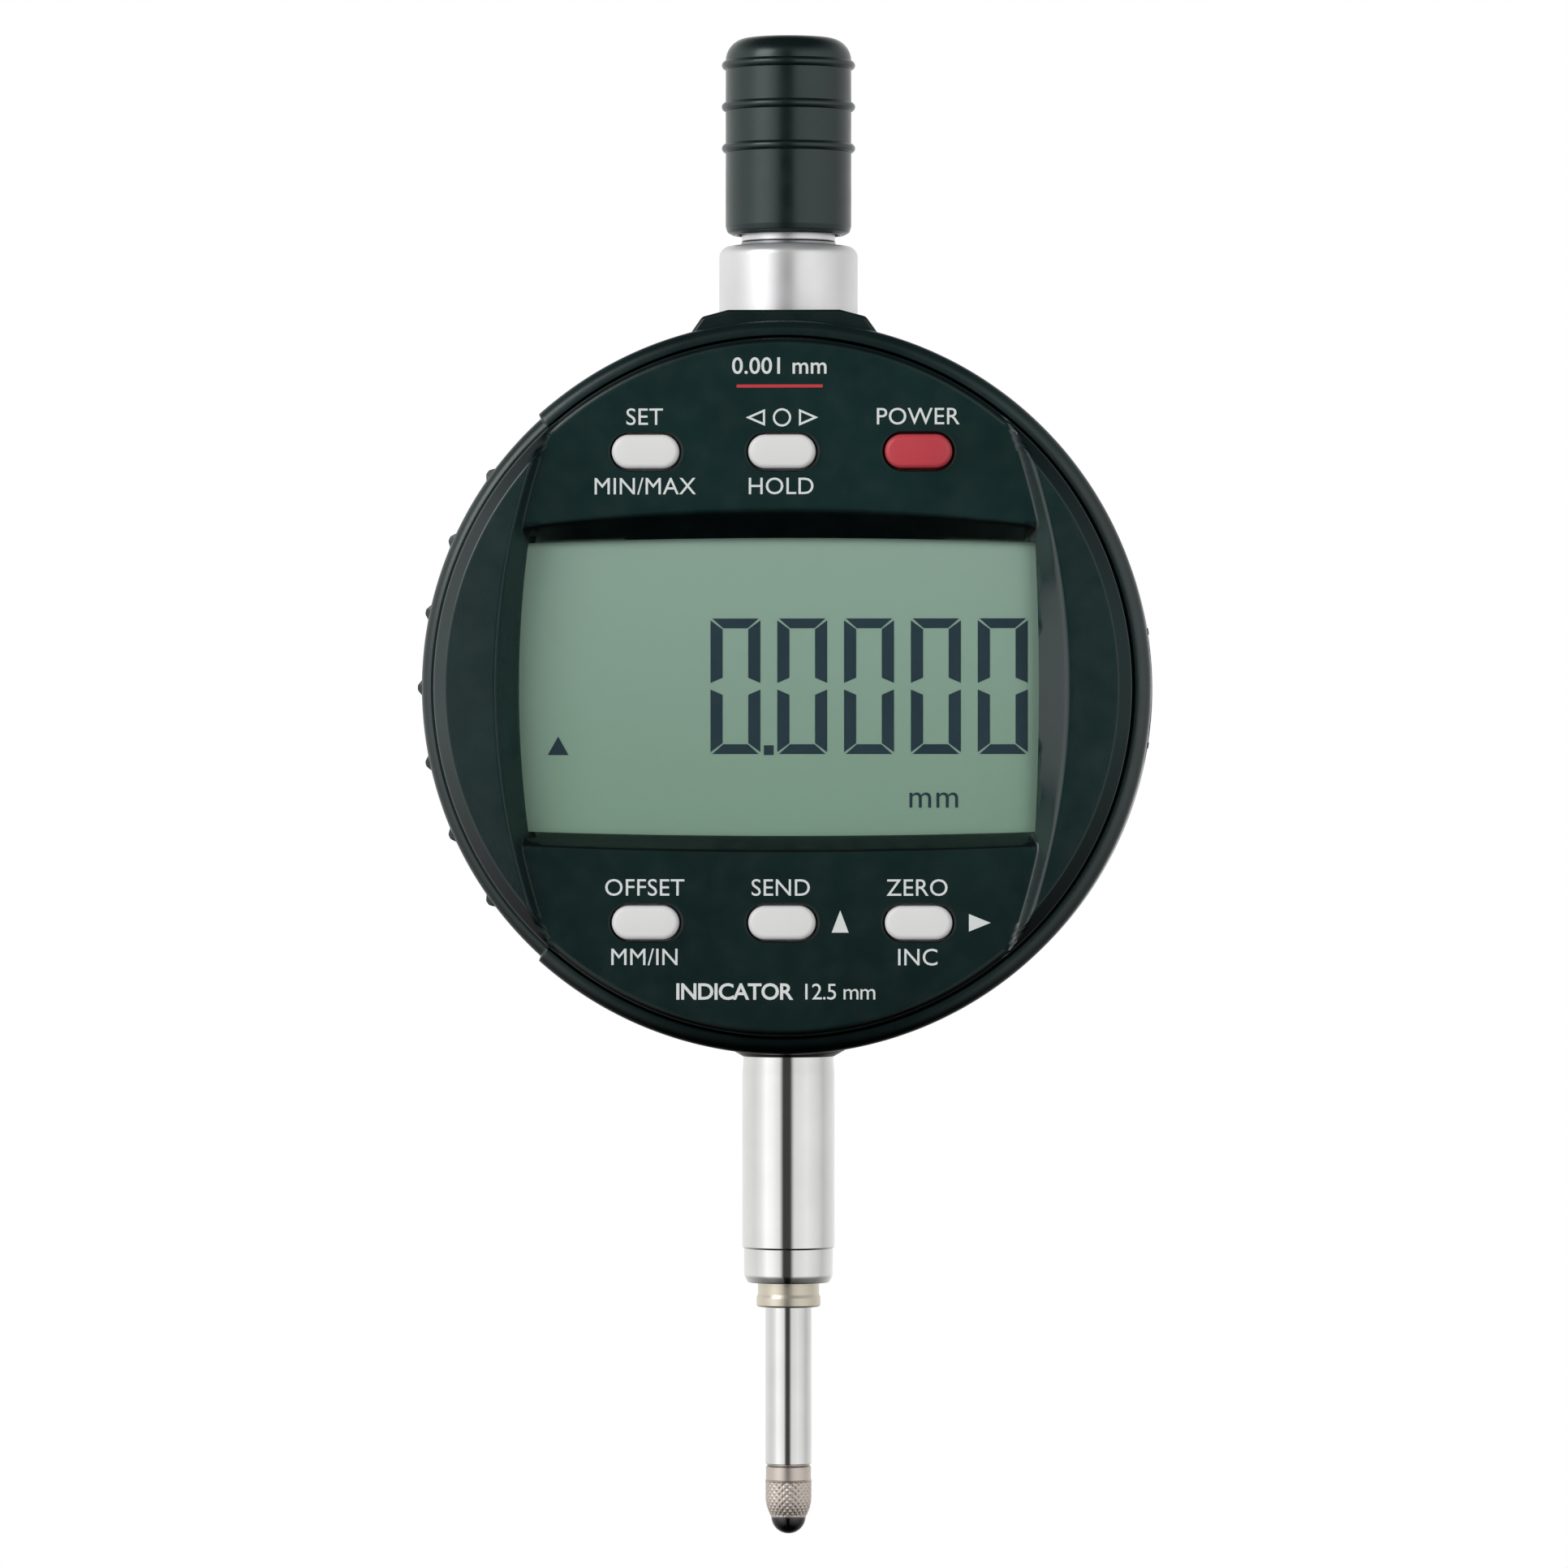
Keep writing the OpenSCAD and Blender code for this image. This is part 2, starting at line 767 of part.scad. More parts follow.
module battery_drawer() {
    inner = tray_rear + tray_floor;
    color(case_black) {
        difference() {
            union() {
                sector(case_r - grip_drop, cover_in, cover_rear, cover_front, 180, grip_half - grip_gap);
                intersection() {
                    block(-31, tray_end, tray_rear, tray_front, -tray_z, tray_z);
                    disc(cover_in + 0.3, -10, 10);
                }
            }
            translate([cell_x, 0, 0]) disc(cell_r + 0.1, inner, 4);
        }
        grip_ribs(cover_rear, cover_front);
    }
}

module battery_cell() {
    base = tray_rear + tray_floor;
    color("silver") translate([cell_x, 0, 0]) {
        disc(cell_r, base + 0.01, base + cell_h - 0.6);
        disc(cell_r - 1.4, base + cell_h - 0.7, base + cell_h - 0.1);
    }
}

// Prism along X with the data port's round-ended outline.
module port_plug(reach, grow) {
    translate([0, 0, dial_z]) rotate([0, 90, 0]) linear_extrude(reach)
        stadium(2 * (port_z + grow), 2 * (port_y + grow));
}

module data_cover() {
    color(rubber) {
        difference() {
            intersection() {
                port_plug(33, 0);
                disc(case_r - 0.05, -10, 10);
            }
            disc(port_r, -10, 10);
        }
        intersection() {
            block(26.4, port_r + 0.6, -1.3, 1.3, -3.6, 3.6);
            disc(port_r + 0.3, -10, 10);
        }
        for (side = [-1, 1])
            slab(-1.6, 1.6) rotate(side * 9) translate([case_r - 0.15, 0]) circle(0.3, $fn = 32);
    }
}

housing();
back_plate();
back_gasket();
back_screws();
chassis_plate();
chassis_screws();
mounting_stem();
stem_bush();
buffer_washer();
upper_collar();
neck_ring();
upper_neck();
upper_bush();
return_spring();
encoder_board();
read_head();
board_screws();
data_socket();
battery_contacts();
spindle();
stop_ring();
scale_carrier();
carrier_screw();
encoder_scale();
guide_pin();
contact_holder();
contact_ball();
lifting_cap();
cap_screw();
front_cover();
display_window();
lcd_panel();
lcd_frame();
lcd_strips();
main_board();
keypad_mat();
display_back();
hub_clip();
turn_seal();
display_screws();
key_cap(-1, 1, "#d2d2d2");  // key_upper_left
key_cap(0, 1, "#d2d2d2");  // key_upper_middle
key_cap(1, 1, "#b5444b");  // key_power
key_cap(-1, -1, "#d2d2d2");  // key_lower_left
key_cap(0, -1, "#d2d2d2");  // key_lower_middle
key_cap(1, -1, "#d2d2d2");  // key_lower_right
battery_drawer();
battery_cell();
data_cover();
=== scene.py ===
"""Looks of the digital dial indicator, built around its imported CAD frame.

Shapes are written in millimetres and scaled once, in make(). Two sets of axes are used:
upright = (x, y, height above the dial's centre), forward = (right, up, depth in front of the spindle).
"""
from math import asin, atan2, cos, degrees, hypot, pi, radians, sin, sqrt, tan

import bmesh
import bpy
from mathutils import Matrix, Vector
from mathutils.geometry import delaunay_2d_cdt


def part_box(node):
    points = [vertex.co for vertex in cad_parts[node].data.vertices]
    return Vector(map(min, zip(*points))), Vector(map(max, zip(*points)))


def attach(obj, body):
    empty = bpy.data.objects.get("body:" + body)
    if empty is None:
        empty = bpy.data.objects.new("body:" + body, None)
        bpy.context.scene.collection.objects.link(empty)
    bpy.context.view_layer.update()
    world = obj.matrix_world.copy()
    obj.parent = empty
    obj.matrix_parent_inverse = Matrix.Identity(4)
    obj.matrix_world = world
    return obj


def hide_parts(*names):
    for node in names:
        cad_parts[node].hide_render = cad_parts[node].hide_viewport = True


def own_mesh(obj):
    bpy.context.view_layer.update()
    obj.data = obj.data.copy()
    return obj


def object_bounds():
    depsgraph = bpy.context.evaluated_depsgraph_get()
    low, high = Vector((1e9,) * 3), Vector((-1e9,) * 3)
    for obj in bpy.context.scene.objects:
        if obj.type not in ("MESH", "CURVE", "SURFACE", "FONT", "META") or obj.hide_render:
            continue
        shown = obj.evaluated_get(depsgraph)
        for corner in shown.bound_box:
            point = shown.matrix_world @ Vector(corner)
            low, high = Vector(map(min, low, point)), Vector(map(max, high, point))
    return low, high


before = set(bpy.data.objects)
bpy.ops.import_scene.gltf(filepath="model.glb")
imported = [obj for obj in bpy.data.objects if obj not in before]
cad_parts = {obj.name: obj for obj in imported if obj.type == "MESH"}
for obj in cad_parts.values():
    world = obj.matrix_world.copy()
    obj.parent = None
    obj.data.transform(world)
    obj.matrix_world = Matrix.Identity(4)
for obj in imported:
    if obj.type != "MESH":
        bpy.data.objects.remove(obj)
CAD_LOW, CAD_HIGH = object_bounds()
MM = 0.001


def centre_of(node):
    low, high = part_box(node)
    return (low + high) / 2


# ---- sizes, in millimetres
DIAL_Z = centre_of("display_back").z / MM
CASE_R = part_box("housing")[1].x / MM
DISC_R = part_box("display_back")[1].x / MM
FACE = 11.5
FLOOR = 9.85
COVER_BOTTOM = 9.75
COVER_REAR = 7.5
VIEW_TOP = 12.79
VIEW_LOW = -12.72
VIEW_SPAN = 21.5
CHEEK_TOP = 12.78
CHEEK_X = 24.4
CHEEK_ARC = 62.5
CHEEK_DOME = 400
VIEW_RIGHT = 21.93
VIEW_LEFT = 22.67
VIEW_HALF = 12.35
BOW_RIGHT = 0.32
BOW_LEFT = 0.8
STEP_RIGHT = 0.85
STEP_LEFT = 0.1
RIM_SLOPE = 0.93
RIM_ROUND = 0.7
RIM_EDGE = 0.15
RIM_STOPS = (0, 0.02, 0.07, 0.15, 0.28, 0.42, 0.56, 0.7, 0.85, 0.95, 1.0, 1.05, 1.1, 1.15, 1.25)
CREASE_STOPS = (-3, -2.6, -1.9, -1.5, -0.35, -0.22, -0.1, 0, 0.1, 0.22, 0.35, 0.6, 1)
FOLD_STOPS = (-0.3, -0.2, -0.13, -0.07, 0, 0.07, 0.13, 0.2)
SLOPE_STOPS = (0.12, 0.35, 0.6, 0.8, 0.9, 1.0, 1.1, 1.25)
KEY_PITCH = 11.68
KEY_ROW = 20.13
KEY_W = 5.75
KEY_H = 2.91
KEY_GAP = 0.16
KEY_EDGE = 0.15
KEY_FRONT = 12.2
KEY_BACK = 9.4
KEY_ROUND = 0.45
KEY_CROWN = 0.05
LCD_FRONT = 9.15
BACK_SCREWS = [(18 * sx, 18 * sz) for sx in (1, -1) for sz in (1, -1)]
CHASSIS_SCREWS = [(12.5 * sx, 20.5 * sz) for sx in (1, -1) for sz in (1, -1)]


# ---- mesh helpers
def upright(points):
    return [(x * MM, y * MM, (DIAL_Z + h) * MM) for x, y, h in points]


def forward(points):
    return [(x * MM, -d * MM, (DIAL_Z + up) * MM) for x, up, d in points]


def placed(name, data):
    thing = bpy.data.objects.new(name, data)
    bpy.context.scene.collection.objects.link(thing)
    return thing


def make(name, axes, solid, body, look, nodes=(), slot=None, sharp=40):
    """One piece from a solid's (points, faces), with axes either upright or forward.
    It is smooth, keeps edges sharper than the given angle and keeps flat faces flat."""
    mesh = bpy.data.meshes.new(name)
    mesh.from_pydata(axes(solid[0]), [], solid[1])
    work = bmesh.new()
    work.from_mesh(mesh)
    bmesh.ops.remove_doubles(work, verts=work.verts, dist=1e-7)
    bmesh.ops.dissolve_degenerate(work, edges=work.edges, dist=1e-8)
    bmesh.ops.recalc_face_normals(work, faces=work.faces)
    work.to_mesh(mesh)
    work.free()
    mesh.shade_smooth()
    mesh.set_sharp_from_angle(angle=radians(sharp))
    piece = placed(name, mesh)
    mesh.materials.append(look)
    even = piece.modifiers.new("normals", "WEIGHTED_NORMAL")
    even.weight = 100
    even.keep_sharp = True
    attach(piece, body)
    if nodes:
        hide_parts(*nodes)
    return piece


def bands(layers, count):
    """Quads between neighbouring layers of count points each."""
    faces = []
    for low in range(0, (layers - 1) * count, count):
        for k in range(count):
            m = (k + 1) % count
            faces.append((low + k, low + m, low + count + m, low + count + k))
    return faces


def stacked(layers, count):
    """The same, closed by a face over the first layer and one over the last."""
    last = (layers - 1) * count
    return bands(layers, count) + [tuple(reversed(range(count))), tuple(range(last, last + count))]


def polar(r, angle, x=0, y=0):
    return x + r * cos(angle), y + r * sin(angle)


def rounded(points, steps=5):
    """Outline with rounded corners: each point is (a, b) or (a, b, corner radius)."""
    outline = []
    for i, point in enumerate(points):
        here = Vector(point[:2])
        if len(point) < 3:
            outline.append(tuple(here))
            continue
        back = Vector(points[i - 1][:2]) - here
        ahead = Vector(points[(i + 1) % len(points)][:2]) - here
        half = back.angle(ahead) / 2
        reach = min(point[2] / tan(half), 0.49 * back.length, 0.49 * ahead.length)
        radius = reach * tan(half)
        centre = here + (back.normalized() + ahead.normalized()).normalized() * radius / sin(half)
        first = here + back.normalized() * reach - centre
        last = here + ahead.normalized() * reach - centre
        start = atan2(first.y, first.x)
        sweep = (atan2(last.y, last.x) - start + pi) % (2 * pi) - pi
        for k in range(steps + 1):
            angle = start + sweep * k / steps
            outline.append(polar(radius, angle, centre.x, centre.y))
    return outline


def lathe(outline, segments=160, shape=None):
    """Turns a closed outline of (radius, height) about the third axis. shape(angle, r, h) may alter r."""
    verts, rows, faces = [], [], []
    for r, h in outline:
        if r < 1e-6:
            verts.append((0, 0, h))
            rows.append([len(verts) - 1] * segments)
            continue
        row = []
        for k in range(segments):
            angle = 2 * pi * k / segments
            radius = shape(angle, r, h) if shape else r
            row.append(len(verts))
            verts.append((*polar(radius, angle), h))
        rows.append(row)
    for i, row in enumerate(rows):
        other = rows[(i + 1) % len(rows)]
        if row[0] == row[1] and other[0] == other[1]:
            continue
        for k in range(segments):
            m = (k + 1) % segments
            face = [row[k], row[m], other[m], other[k]]
            faces.append([v for n, v in enumerate(face) if v != face[n - 1]])
    return verts, faces


def circle(r, count=96, x=0, y=0):
    return [polar(r, 2 * pi * k / count, x, y) for k in range(count)]


def stadium(w, h, x=0, y=0, count=20):
    """Outline with round ends, anticlockwise."""
    r, half = h / 2, (w - h) / 2
    ends = []
    for side, start in ((1, -pi / 2), (-1, pi / 2)):
        for k in range(count + 1):
            ends.append(polar(r, start + pi * k / count, x + side * half, y))
    return ends


def inside(point, loop):
    x, y = point
    hit = False
    for (ax, ay), (bx, by) in zip(loop, loop[1:] + loop[:1]):
        if (ay > y) != (by > y) and x < (bx - ax) * (y - ay) / (by - ay) + ax:
            hit = not hit
    return hit


def plate(loops, strips, spare, keep, top, bottom):
    """Closed solid over a flat triangulation: loops are closed outlines, strips are open ones and
    spare holds single points. keep says which triangles stay, top and bottom give their heights."""
    points, edges = [], []
    for line, closed in [(l, True) for l in loops] + [(l, False) for l in strips]:
        start = len(points)
        points += [Vector(p) for p in line]
        edges += [(start + i, start + i + 1) for i in range(len(line) - 1)]
        if closed:
            edges.append((start + len(line) - 1, start))
    points += [Vector(p) for p in spare]
    result = delaunay_2d_cdt(points, edges, [], 0, 1e-5)
    flat, triangles = result[0], result[2]
    kept = []
    for face in triangles:
        a, b, c = (flat[i] for i in face)
        if keep(((a.x + b.x + c.x) / 3, (a.y + b.y + c.y) / 3)):
            kept.append(tuple(face) if (b - a).cross(c - a) > 0 else tuple(reversed(face)))
    sides = {(f[i], f[(i + 1) % 3]) for f in kept for i in range(3)}
    count = len(flat)
    verts = [(p.x, p.y, top(p.x, p.y)) for p in flat] + [(p.x, p.y, bottom(p.x, p.y)) for p in flat]
    solid = list(kept) + [tuple(count + i for i in reversed(f)) for f in kept]
    solid += [(b, a, count + a, count + b) for a, b in sides if (b, a) not in sides]
    return tidy(verts, solid)


def anticlockwise(outline):
    area = sum(ax * by - bx * ay for (ax, ay), (bx, by) in zip(outline, outline[1:] + outline[:1]))
    return outline if area > 0 else outline[::-1]


def tidy(verts, faces):
    """Drops points that no face uses."""
    used = sorted({i for f in faces for i in f})
    place = {old: new for new, old in enumerate(used)}
    return [verts[i] for i in used], [tuple(place[i] for i in f) for f in faces]


def prism(outline, holes, rear, front):
    """Flat plate with straight sides, in forward axes."""
    def solid(p):
        return inside(p, outline) and not any(inside(p, h) for h in holes)

    return plate([outline, *holes], [], [], solid, lambda x, y: front, lambda x, y: rear)


def joined(*parts):
    verts, faces = [], []
    for more_verts, more_faces in parts:
        start = len(verts)
        verts += more_verts
        faces += [tuple(start + i for i in f) for f in more_faces]
    return verts, faces


def soft_max(a, b, reach):
    h = max(0.0, min(1.0, 0.5 + 0.5 * (a - b) / reach))
    return b + (a - b) * h + reach * h * (1 - h)


def soft_min(a, b, reach):
    return -soft_max(-a, -b, reach)


# ---- materials
def shader(m):
    return m.node_tree.nodes["Principled BSDF"].inputs


def material(name, color, rough, metal=0.0, **more):
    m = bpy.data.materials.new(name)
    m.use_nodes = True
    for socket, value in {"Base_Color": (*color, 1), "Roughness": rough, "Metallic": metal, **more}.items():
        shader(m)[socket.replace("_", " ")].default_value = value
    return m


def add(m, kind, **values):
    n = m.node_tree.nodes.new("ShaderNode" + kind)
    for key, value in values.items():
        if hasattr(n, key):
            setattr(n, key, value)
        else:
            n.inputs[key.replace("_", " ")].default_value = value
    return n


def link(m, out, socket):
    m.node_tree.links.new(out, socket)


def parts_of(m, source):
    """The three parts of a place or of the way a surface faces: Object and Generated, or Normal."""
    place = add(m, "TexCoord")
    split = add(m, "SeparateXYZ")
    link(m, place.outputs[source], split.inputs["Vector"])
    return split.outputs


def combined(m, operation, first, second):
    """A maths operation on two nodes' outputs."""
    n = add(m, "Math", operation=operation)
    link(m, first, n.inputs[0])
    link(m, second, n.inputs[1])
    return n.outputs["Value"]


def mixed(m, factor, first, second, kind="MIX"):
    """Mixes two colours. Each of the three is a value or another node's output."""
    n = add(m, "Mix", data_type="RGBA", blend_type=kind)
    for socket, value in ((n.inputs[0], factor), (n.inputs[6], first), (n.inputs[7], second)):
        if isinstance(value, bpy.types.NodeSocket):
            link(m, value, socket)
        else:
            socket.default_value = value
    return n.outputs[2]


def noise(m, per_mm, detail=3.0, stretch=(1, 1, 1)):
    """Noise in object space, with about per_mm features in a millimetre."""
    place = add(m, "TexCoord")
    scale = add(m, "Mapping")
    scale.inputs["Scale"].default_value = stretch
    grain = add(m, "TexNoise", Scale=per_mm / MM, Detail=detail)
    link(m, place.outputs["Object"], scale.inputs["Vector"])
    link(m, scale.outputs["Vector"], grain.inputs["Vector"])
    return grain.outputs["Fac"]


def ramp(m, source, low, high, out_low, out_high, kind="LINEAR"):
    n = add(m, "MapRange", interpolation_type=kind)
    for socket, value in (("From Min", low), ("From Max", high), ("To Min", out_low), ("To Max", out_high)):
        n.inputs[socket].default_value = value
    link(m, source, n.inputs["Value"])
    return n.outputs["Result"]


def tint(m, source, dark, light):
    """Colour that runs from dark to light with the source."""
    link(m, mixed(m, source, (*dark, 1), (*light, 1)), shader(m)["Base Color"])


def shaded(m, factor):
    """Multiplies the colour that already reaches the shader."""
    base = shader(m)["Base Color"]
    link(m, mixed(m, 1, base.links[0].from_socket, factor, "MULTIPLY"), base)


def rough_by(m, source, low, high):
    link(m, ramp(m, source, 0.2, 0.8, low, high, "SMOOTHSTEP"), shader(m)["Roughness"])


def bump(m, source, height):
    """Relief of the given height in millimetres."""
    n = add(m, "Bump", Strength=1, Distance=height * MM)
    link(m, source, n.inputs["Height"])
    link(m, n.outputs["Normal"], shader(m)["Normal"])


def plastic(name, color, rough, grain=7.0, height=0.004, spread=0.15, **more):
    """Moulded plastic: a fine spark-eroded grain, slightly uneven gloss and colour."""
    m = material(name, color, rough, **more)
    shade = ramp(m, noise(m, 0.12, 2.0), 0.2, 0.8, 0, 1, "SMOOTHSTEP")
    tint(m, shade, [c * (1 - spread) for c in color], [c * (1 + spread) for c in color])
    rough_by(m, noise(m, 0.5, 4.0), rough - 0.05, rough + 0.06)
    bump(m, noise(m, grain, 2.0), height)
    return m


def turned_metal(name, color, rough, line=14.0, height=0.0015, along=0.02, **more):
    """Metal turned or ground round the spindle axis: fine lines round it, faint colour changes."""
    m = material(name, color, rough, 1.0, **more)
    lines = noise(m, line, 3.0, (along, along, 1))
    smears = noise(m, 0.25, 3.0)
    tint(m, ramp(m, smears, 0.2, 0.8, 0, 1, "SMOOTHSTEP"), [c * 0.93 for c in color], color)
    rough_by(m, noise(m, 0.35, 2.0), rough * 0.88, rough * 1.15)
    bump(m, lines, height)
    return m


CASE = plastic("case_plastic", (0.0060, 0.0195, 0.0185), 0.27, Specular_IOR_Level=0.75)
COVER = plastic("cover_plastic", (0.0045, 0.0195, 0.0185), 0.20, Specular_IOR_Level=0.70)
CAP = plastic("cap_plastic", (0.0030, 0.0085, 0.0080), 0.25, 5.0, 0.0015, Specular_IOR_Level=0.86,
              Specular_Tint=(0.84, 1.0, 0.98, 1))
KEY_GREY = plastic("key_grey", (0.66, 0.66, 0.655), 0.36, 6.0, 0.0015, 0.03)
KEY_RED = plastic("key_red", (0.44, 0.045, 0.060), 0.34, 6.0, 0.0015, 0.06)
STEM = turned_metal("chrome_steel", (0.92, 0.92, 0.905), 0.085)
ROD = turned_metal("hard_steel", (0.88, 0.88, 0.87), 0.12)
SATIN = turned_metal("satin_steel", (0.93, 0.93, 0.94), 0.32, 9.0, 0.0012, Metallic=0.75)
BRASS = turned_metal("bush_brass", (0.86, 0.80, 0.66), 0.34)
KNURLED = turned_metal("knurled_steel", (0.80, 0.71, 0.64), 0.40)
BALL = turned_metal("ball_carbide", (0.09, 0.09, 0.10), 0.12)
SCREW = turned_metal("screw_steel", (0.55, 0.56, 0.57), 0.32)
SPRING = turned_metal("spring_steel", (0.42, 0.43, 0.45), 0.32)
CHASSIS = turned_metal("chassis_metal", (0.62, 0.64, 0.65), 0.38)
CARRIER = turned_metal("carrier_metal", (0.70, 0.71, 0.72), 0.33)
CELL = turned_metal("cell_steel", (0.72, 0.73, 0.73), 0.23)
GILT = turned_metal("contact_metal", (0.80, 0.66, 0.30), 0.32)
RUBBER = plastic("rubber_black", (0.016, 0.017, 0.018), 0.62, 3.0, 0.008)
SILICONE = plastic("silicone", (0.40, 0.42, 0.42), 0.55, 2.0, 0.004)
STRIP = plastic("strip_rubber", (0.50, 0.20, 0.26), 0.55)
WHITE_PLASTIC = plastic("frame_plastic", (0.72, 0.72, 0.68), 0.45)
CHIP = plastic("chip_plastic", (0.012, 0.012, 0.014), 0.50)
BOARD = plastic("circuit_board", (0.012, 0.100, 0.042), 0.38, 2.0, 0.010, 0.35)
SCALE = material("scale_glass", (0.62, 0.70, 0.75), 0.08)
bump(SCALE, noise(SCALE, 2.0), 0.0005)


def paint_case_shade():
    """Painted shade: the case's colour is darkened towards its top and its foot and on surfaces that face
    down, and its gloss is lowered at its top and its foot.
    """
    rise, way = parts_of(CASE, "Object")["Z"], parts_of(CASE, "Normal")["Z"]
    foot_low, foot_high = (DIAL_Z - 31) * MM, (DIAL_Z - 24) * MM
    painted_top_shade = ramp(CASE, rise, (DIAL_Z + 24) * MM, (DIAL_Z + 29.5) * MM, 1.0, 0.6)
    foot_shade = ramp(CASE, rise, foot_low, foot_high, 0.12, 1.0)
    # painted shade: colour darkened towards the foot and the top
    shaded(CASE, combined(CASE, "MULTIPLY", foot_shade, painted_top_shade))
    # painted shade: colour darkened on surfaces that face down
    shaded(CASE, ramp(CASE, way, -0.75, -0.15, 0.12, 1.0))
    # gloss lowered at the foot and the top, alongside the painted shade
    foot_gloss = ramp(CASE, rise, foot_low, foot_high, 0.10, 0.75)
    link(CASE, combined(CASE, "MULTIPLY", foot_gloss, painted_top_shade), shader(CASE)["Specular IOR Level"])


def paint_cover_shade():
    """Painted shade: the cover's lower half is darkened, and its slopes that face up or down are darker
    still.
    Painted sheen: slopes that face the reader's right get less gloss, and those that face left a little more."""
    rise, way = parts_of(COVER, "Object")["Z"], parts_of(COVER, "Normal")
    # painted shade: colour darker towards the bottom
    shaded(COVER, ramp(COVER, rise, (DIAL_Z - 27) * MM, (DIAL_Z + 4) * MM, 0.66, 1.0))
    # painted shade on slopes that face down, then on slopes that face up
    shaded(COVER, ramp(COVER, way["Z"], -0.55, -0.10, 0.12, 1.0))
    shaded(COVER, ramp(COVER, way["Z"], 0.10, 0.55, 1.0, 0.35))
    # painted sheen: gloss set by which way a slope faces, less to the right and more to the left
    right_sheen_cut = ramp(COVER, way["X"], 0.10, 0.40, 0.70, 0.25)
    left_sheen_boost = ramp(COVER, way["X"], -0.50, -0.20, 1.2, 1.0)
    link(COVER, combined(COVER, "MULTIPLY", right_sheen_cut, left_sheen_boost), shader(COVER)["Specular IOR Level"])


paint_case_shade()
paint_cover_shade()


def lcd_glass():
    """Grey-green reflective display: a soft vertical fade, and a fine grain under the front glass."""
    m = material("lcd_glass", (0.21, 0.30, 0.24), 0.34)
    rise = parts_of(m, "Object")["Z"]
    fade = ramp(m, rise, (DIAL_Z - 13) * MM, (DIAL_Z + 13) * MM, 0, 1)
    grain = ramp(m, noise(m, 2.2, 5.0), 0, 1, 0, 0.30)
    shade = ramp(m, combined(m, "ADD", grain, fade), 0.1, 1.2, 0, 1)
    tint(m, shade, (0.290, 0.465, 0.345), (0.385, 0.565, 0.465))
    rough_by(m, noise(m, 1.0, 3.0), 0.30, 0.40)
    bump(m, noise(m, 9.0), 0.0006)
    return m


LCD = lcd_glass()
INK = plastic("lcd_segments", (0.022, 0.052, 0.068), 0.40, 6.0, 0.0005, 0.10)
PRINT = plastic("white_print", (0.60, 0.63, 0.62), 0.50, 6.0, 0.001, 0.04)
RED_PRINT = plastic("red_print", (0.45, 0.03, 0.04), 0.50, 6.0, 0.001, 0.06)
LENS = material("window_lens", (0.010, 0.013, 0.012), 0.07, Alpha=0.12)
bump(LENS, noise(LENS, 0.4), 0.0004)

CAD_LOOKS = {
    CASE: ["housing", "back_plate", "display_back", "battery_drawer"],
    COVER: ["front_cover"],
    CAP: ["lifting_cap"],
    KEY_GREY: [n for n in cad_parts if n.startswith("key_") and n != "key_power"],
    KEY_RED: ["key_power"],
    STEM: ["mounting_stem"],
    ROD: ["spindle", "guide_pin"],
    SATIN: ["upper_collar", "upper_neck"],
    BRASS: ["stem_bush", "upper_bush"],
    KNURLED: ["contact_holder"],
    BALL: ["contact_ball"],
    SCREW: ["back_screws", "chassis_screws", "board_screws", "carrier_screw", "cap_screw", "display_screws"],
    SPRING: ["return_spring", "stop_ring", "hub_clip", "neck_ring"],
    CHASSIS: ["chassis_plate"],
    CARRIER: ["scale_carrier"],
    CELL: ["battery_cell"],
    GILT: ["battery_contacts"],
    RUBBER: ["back_gasket", "buffer_washer", "turn_seal", "data_cover"],
    SILICONE: ["keypad_mat"],
    STRIP: ["lcd_strips"],
    WHITE_PLASTIC: ["lcd_frame"],
    CHIP: ["read_head", "data_socket"],
    BOARD: ["main_board", "encoder_board"],
    SCALE: ["encoder_scale"],
    LCD: ["lcd_panel"],
    LENS: ["display_window"],
}
for look, names in CAD_LOOKS.items():
    for name in names:
        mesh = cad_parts[name].data
        mesh.materials.clear()
        mesh.materials.append(look)


# ---- display cover
def crease_x(z):
    """Where a cheek's inner edge stands, at a height from the dial's centre."""
    return CHEEK_X - CHEEK_ARC + sqrt(CHEEK_ARC ** 2 - z ** 2)


def view_side(z, right):
    """Where the display opening ends at a height from the dial's centre, on the right or the left."""
    middle, bow = (VIEW_RIGHT, BOW_RIGHT) if right else (VIEW_LEFT, BOW_LEFT)
    return middle - bow * (z / VIEW_HALF) ** 2


def view_top(x, outer=0):
    """Upper edge of the display opening at a distance from the middle; outer 1 is the slope's far edge."""
    return VIEW_TOP + 2.38 * outer - (0.42 + 0.97 * outer) * (x / VIEW_SPAN) ** 2


def view_bottom(x, outer=0):
    return VIEW_LOW - 1.38 * outer + (0.34 + 0.16 * outer) * (x / VIEW_SPAN) ** 2


def foot(right):
    """How far inside a cheek's edge its inner slope meets the face, above and below the display."""
    run = crease_x(VIEW_HALF) - view_side(VIEW_HALF, right)
    return (FACE - CHEEK_TOP) * run / (CHEEK_TOP - FLOOR - (STEP_RIGHT if right else STEP_LEFT))


def rim_drop(edge, radius):
    """How far a rounded edge has fallen, edge inside the full radius."""
    near = max(0.0, radius - edge)
    return radius - sqrt(radius * radius - near * near)


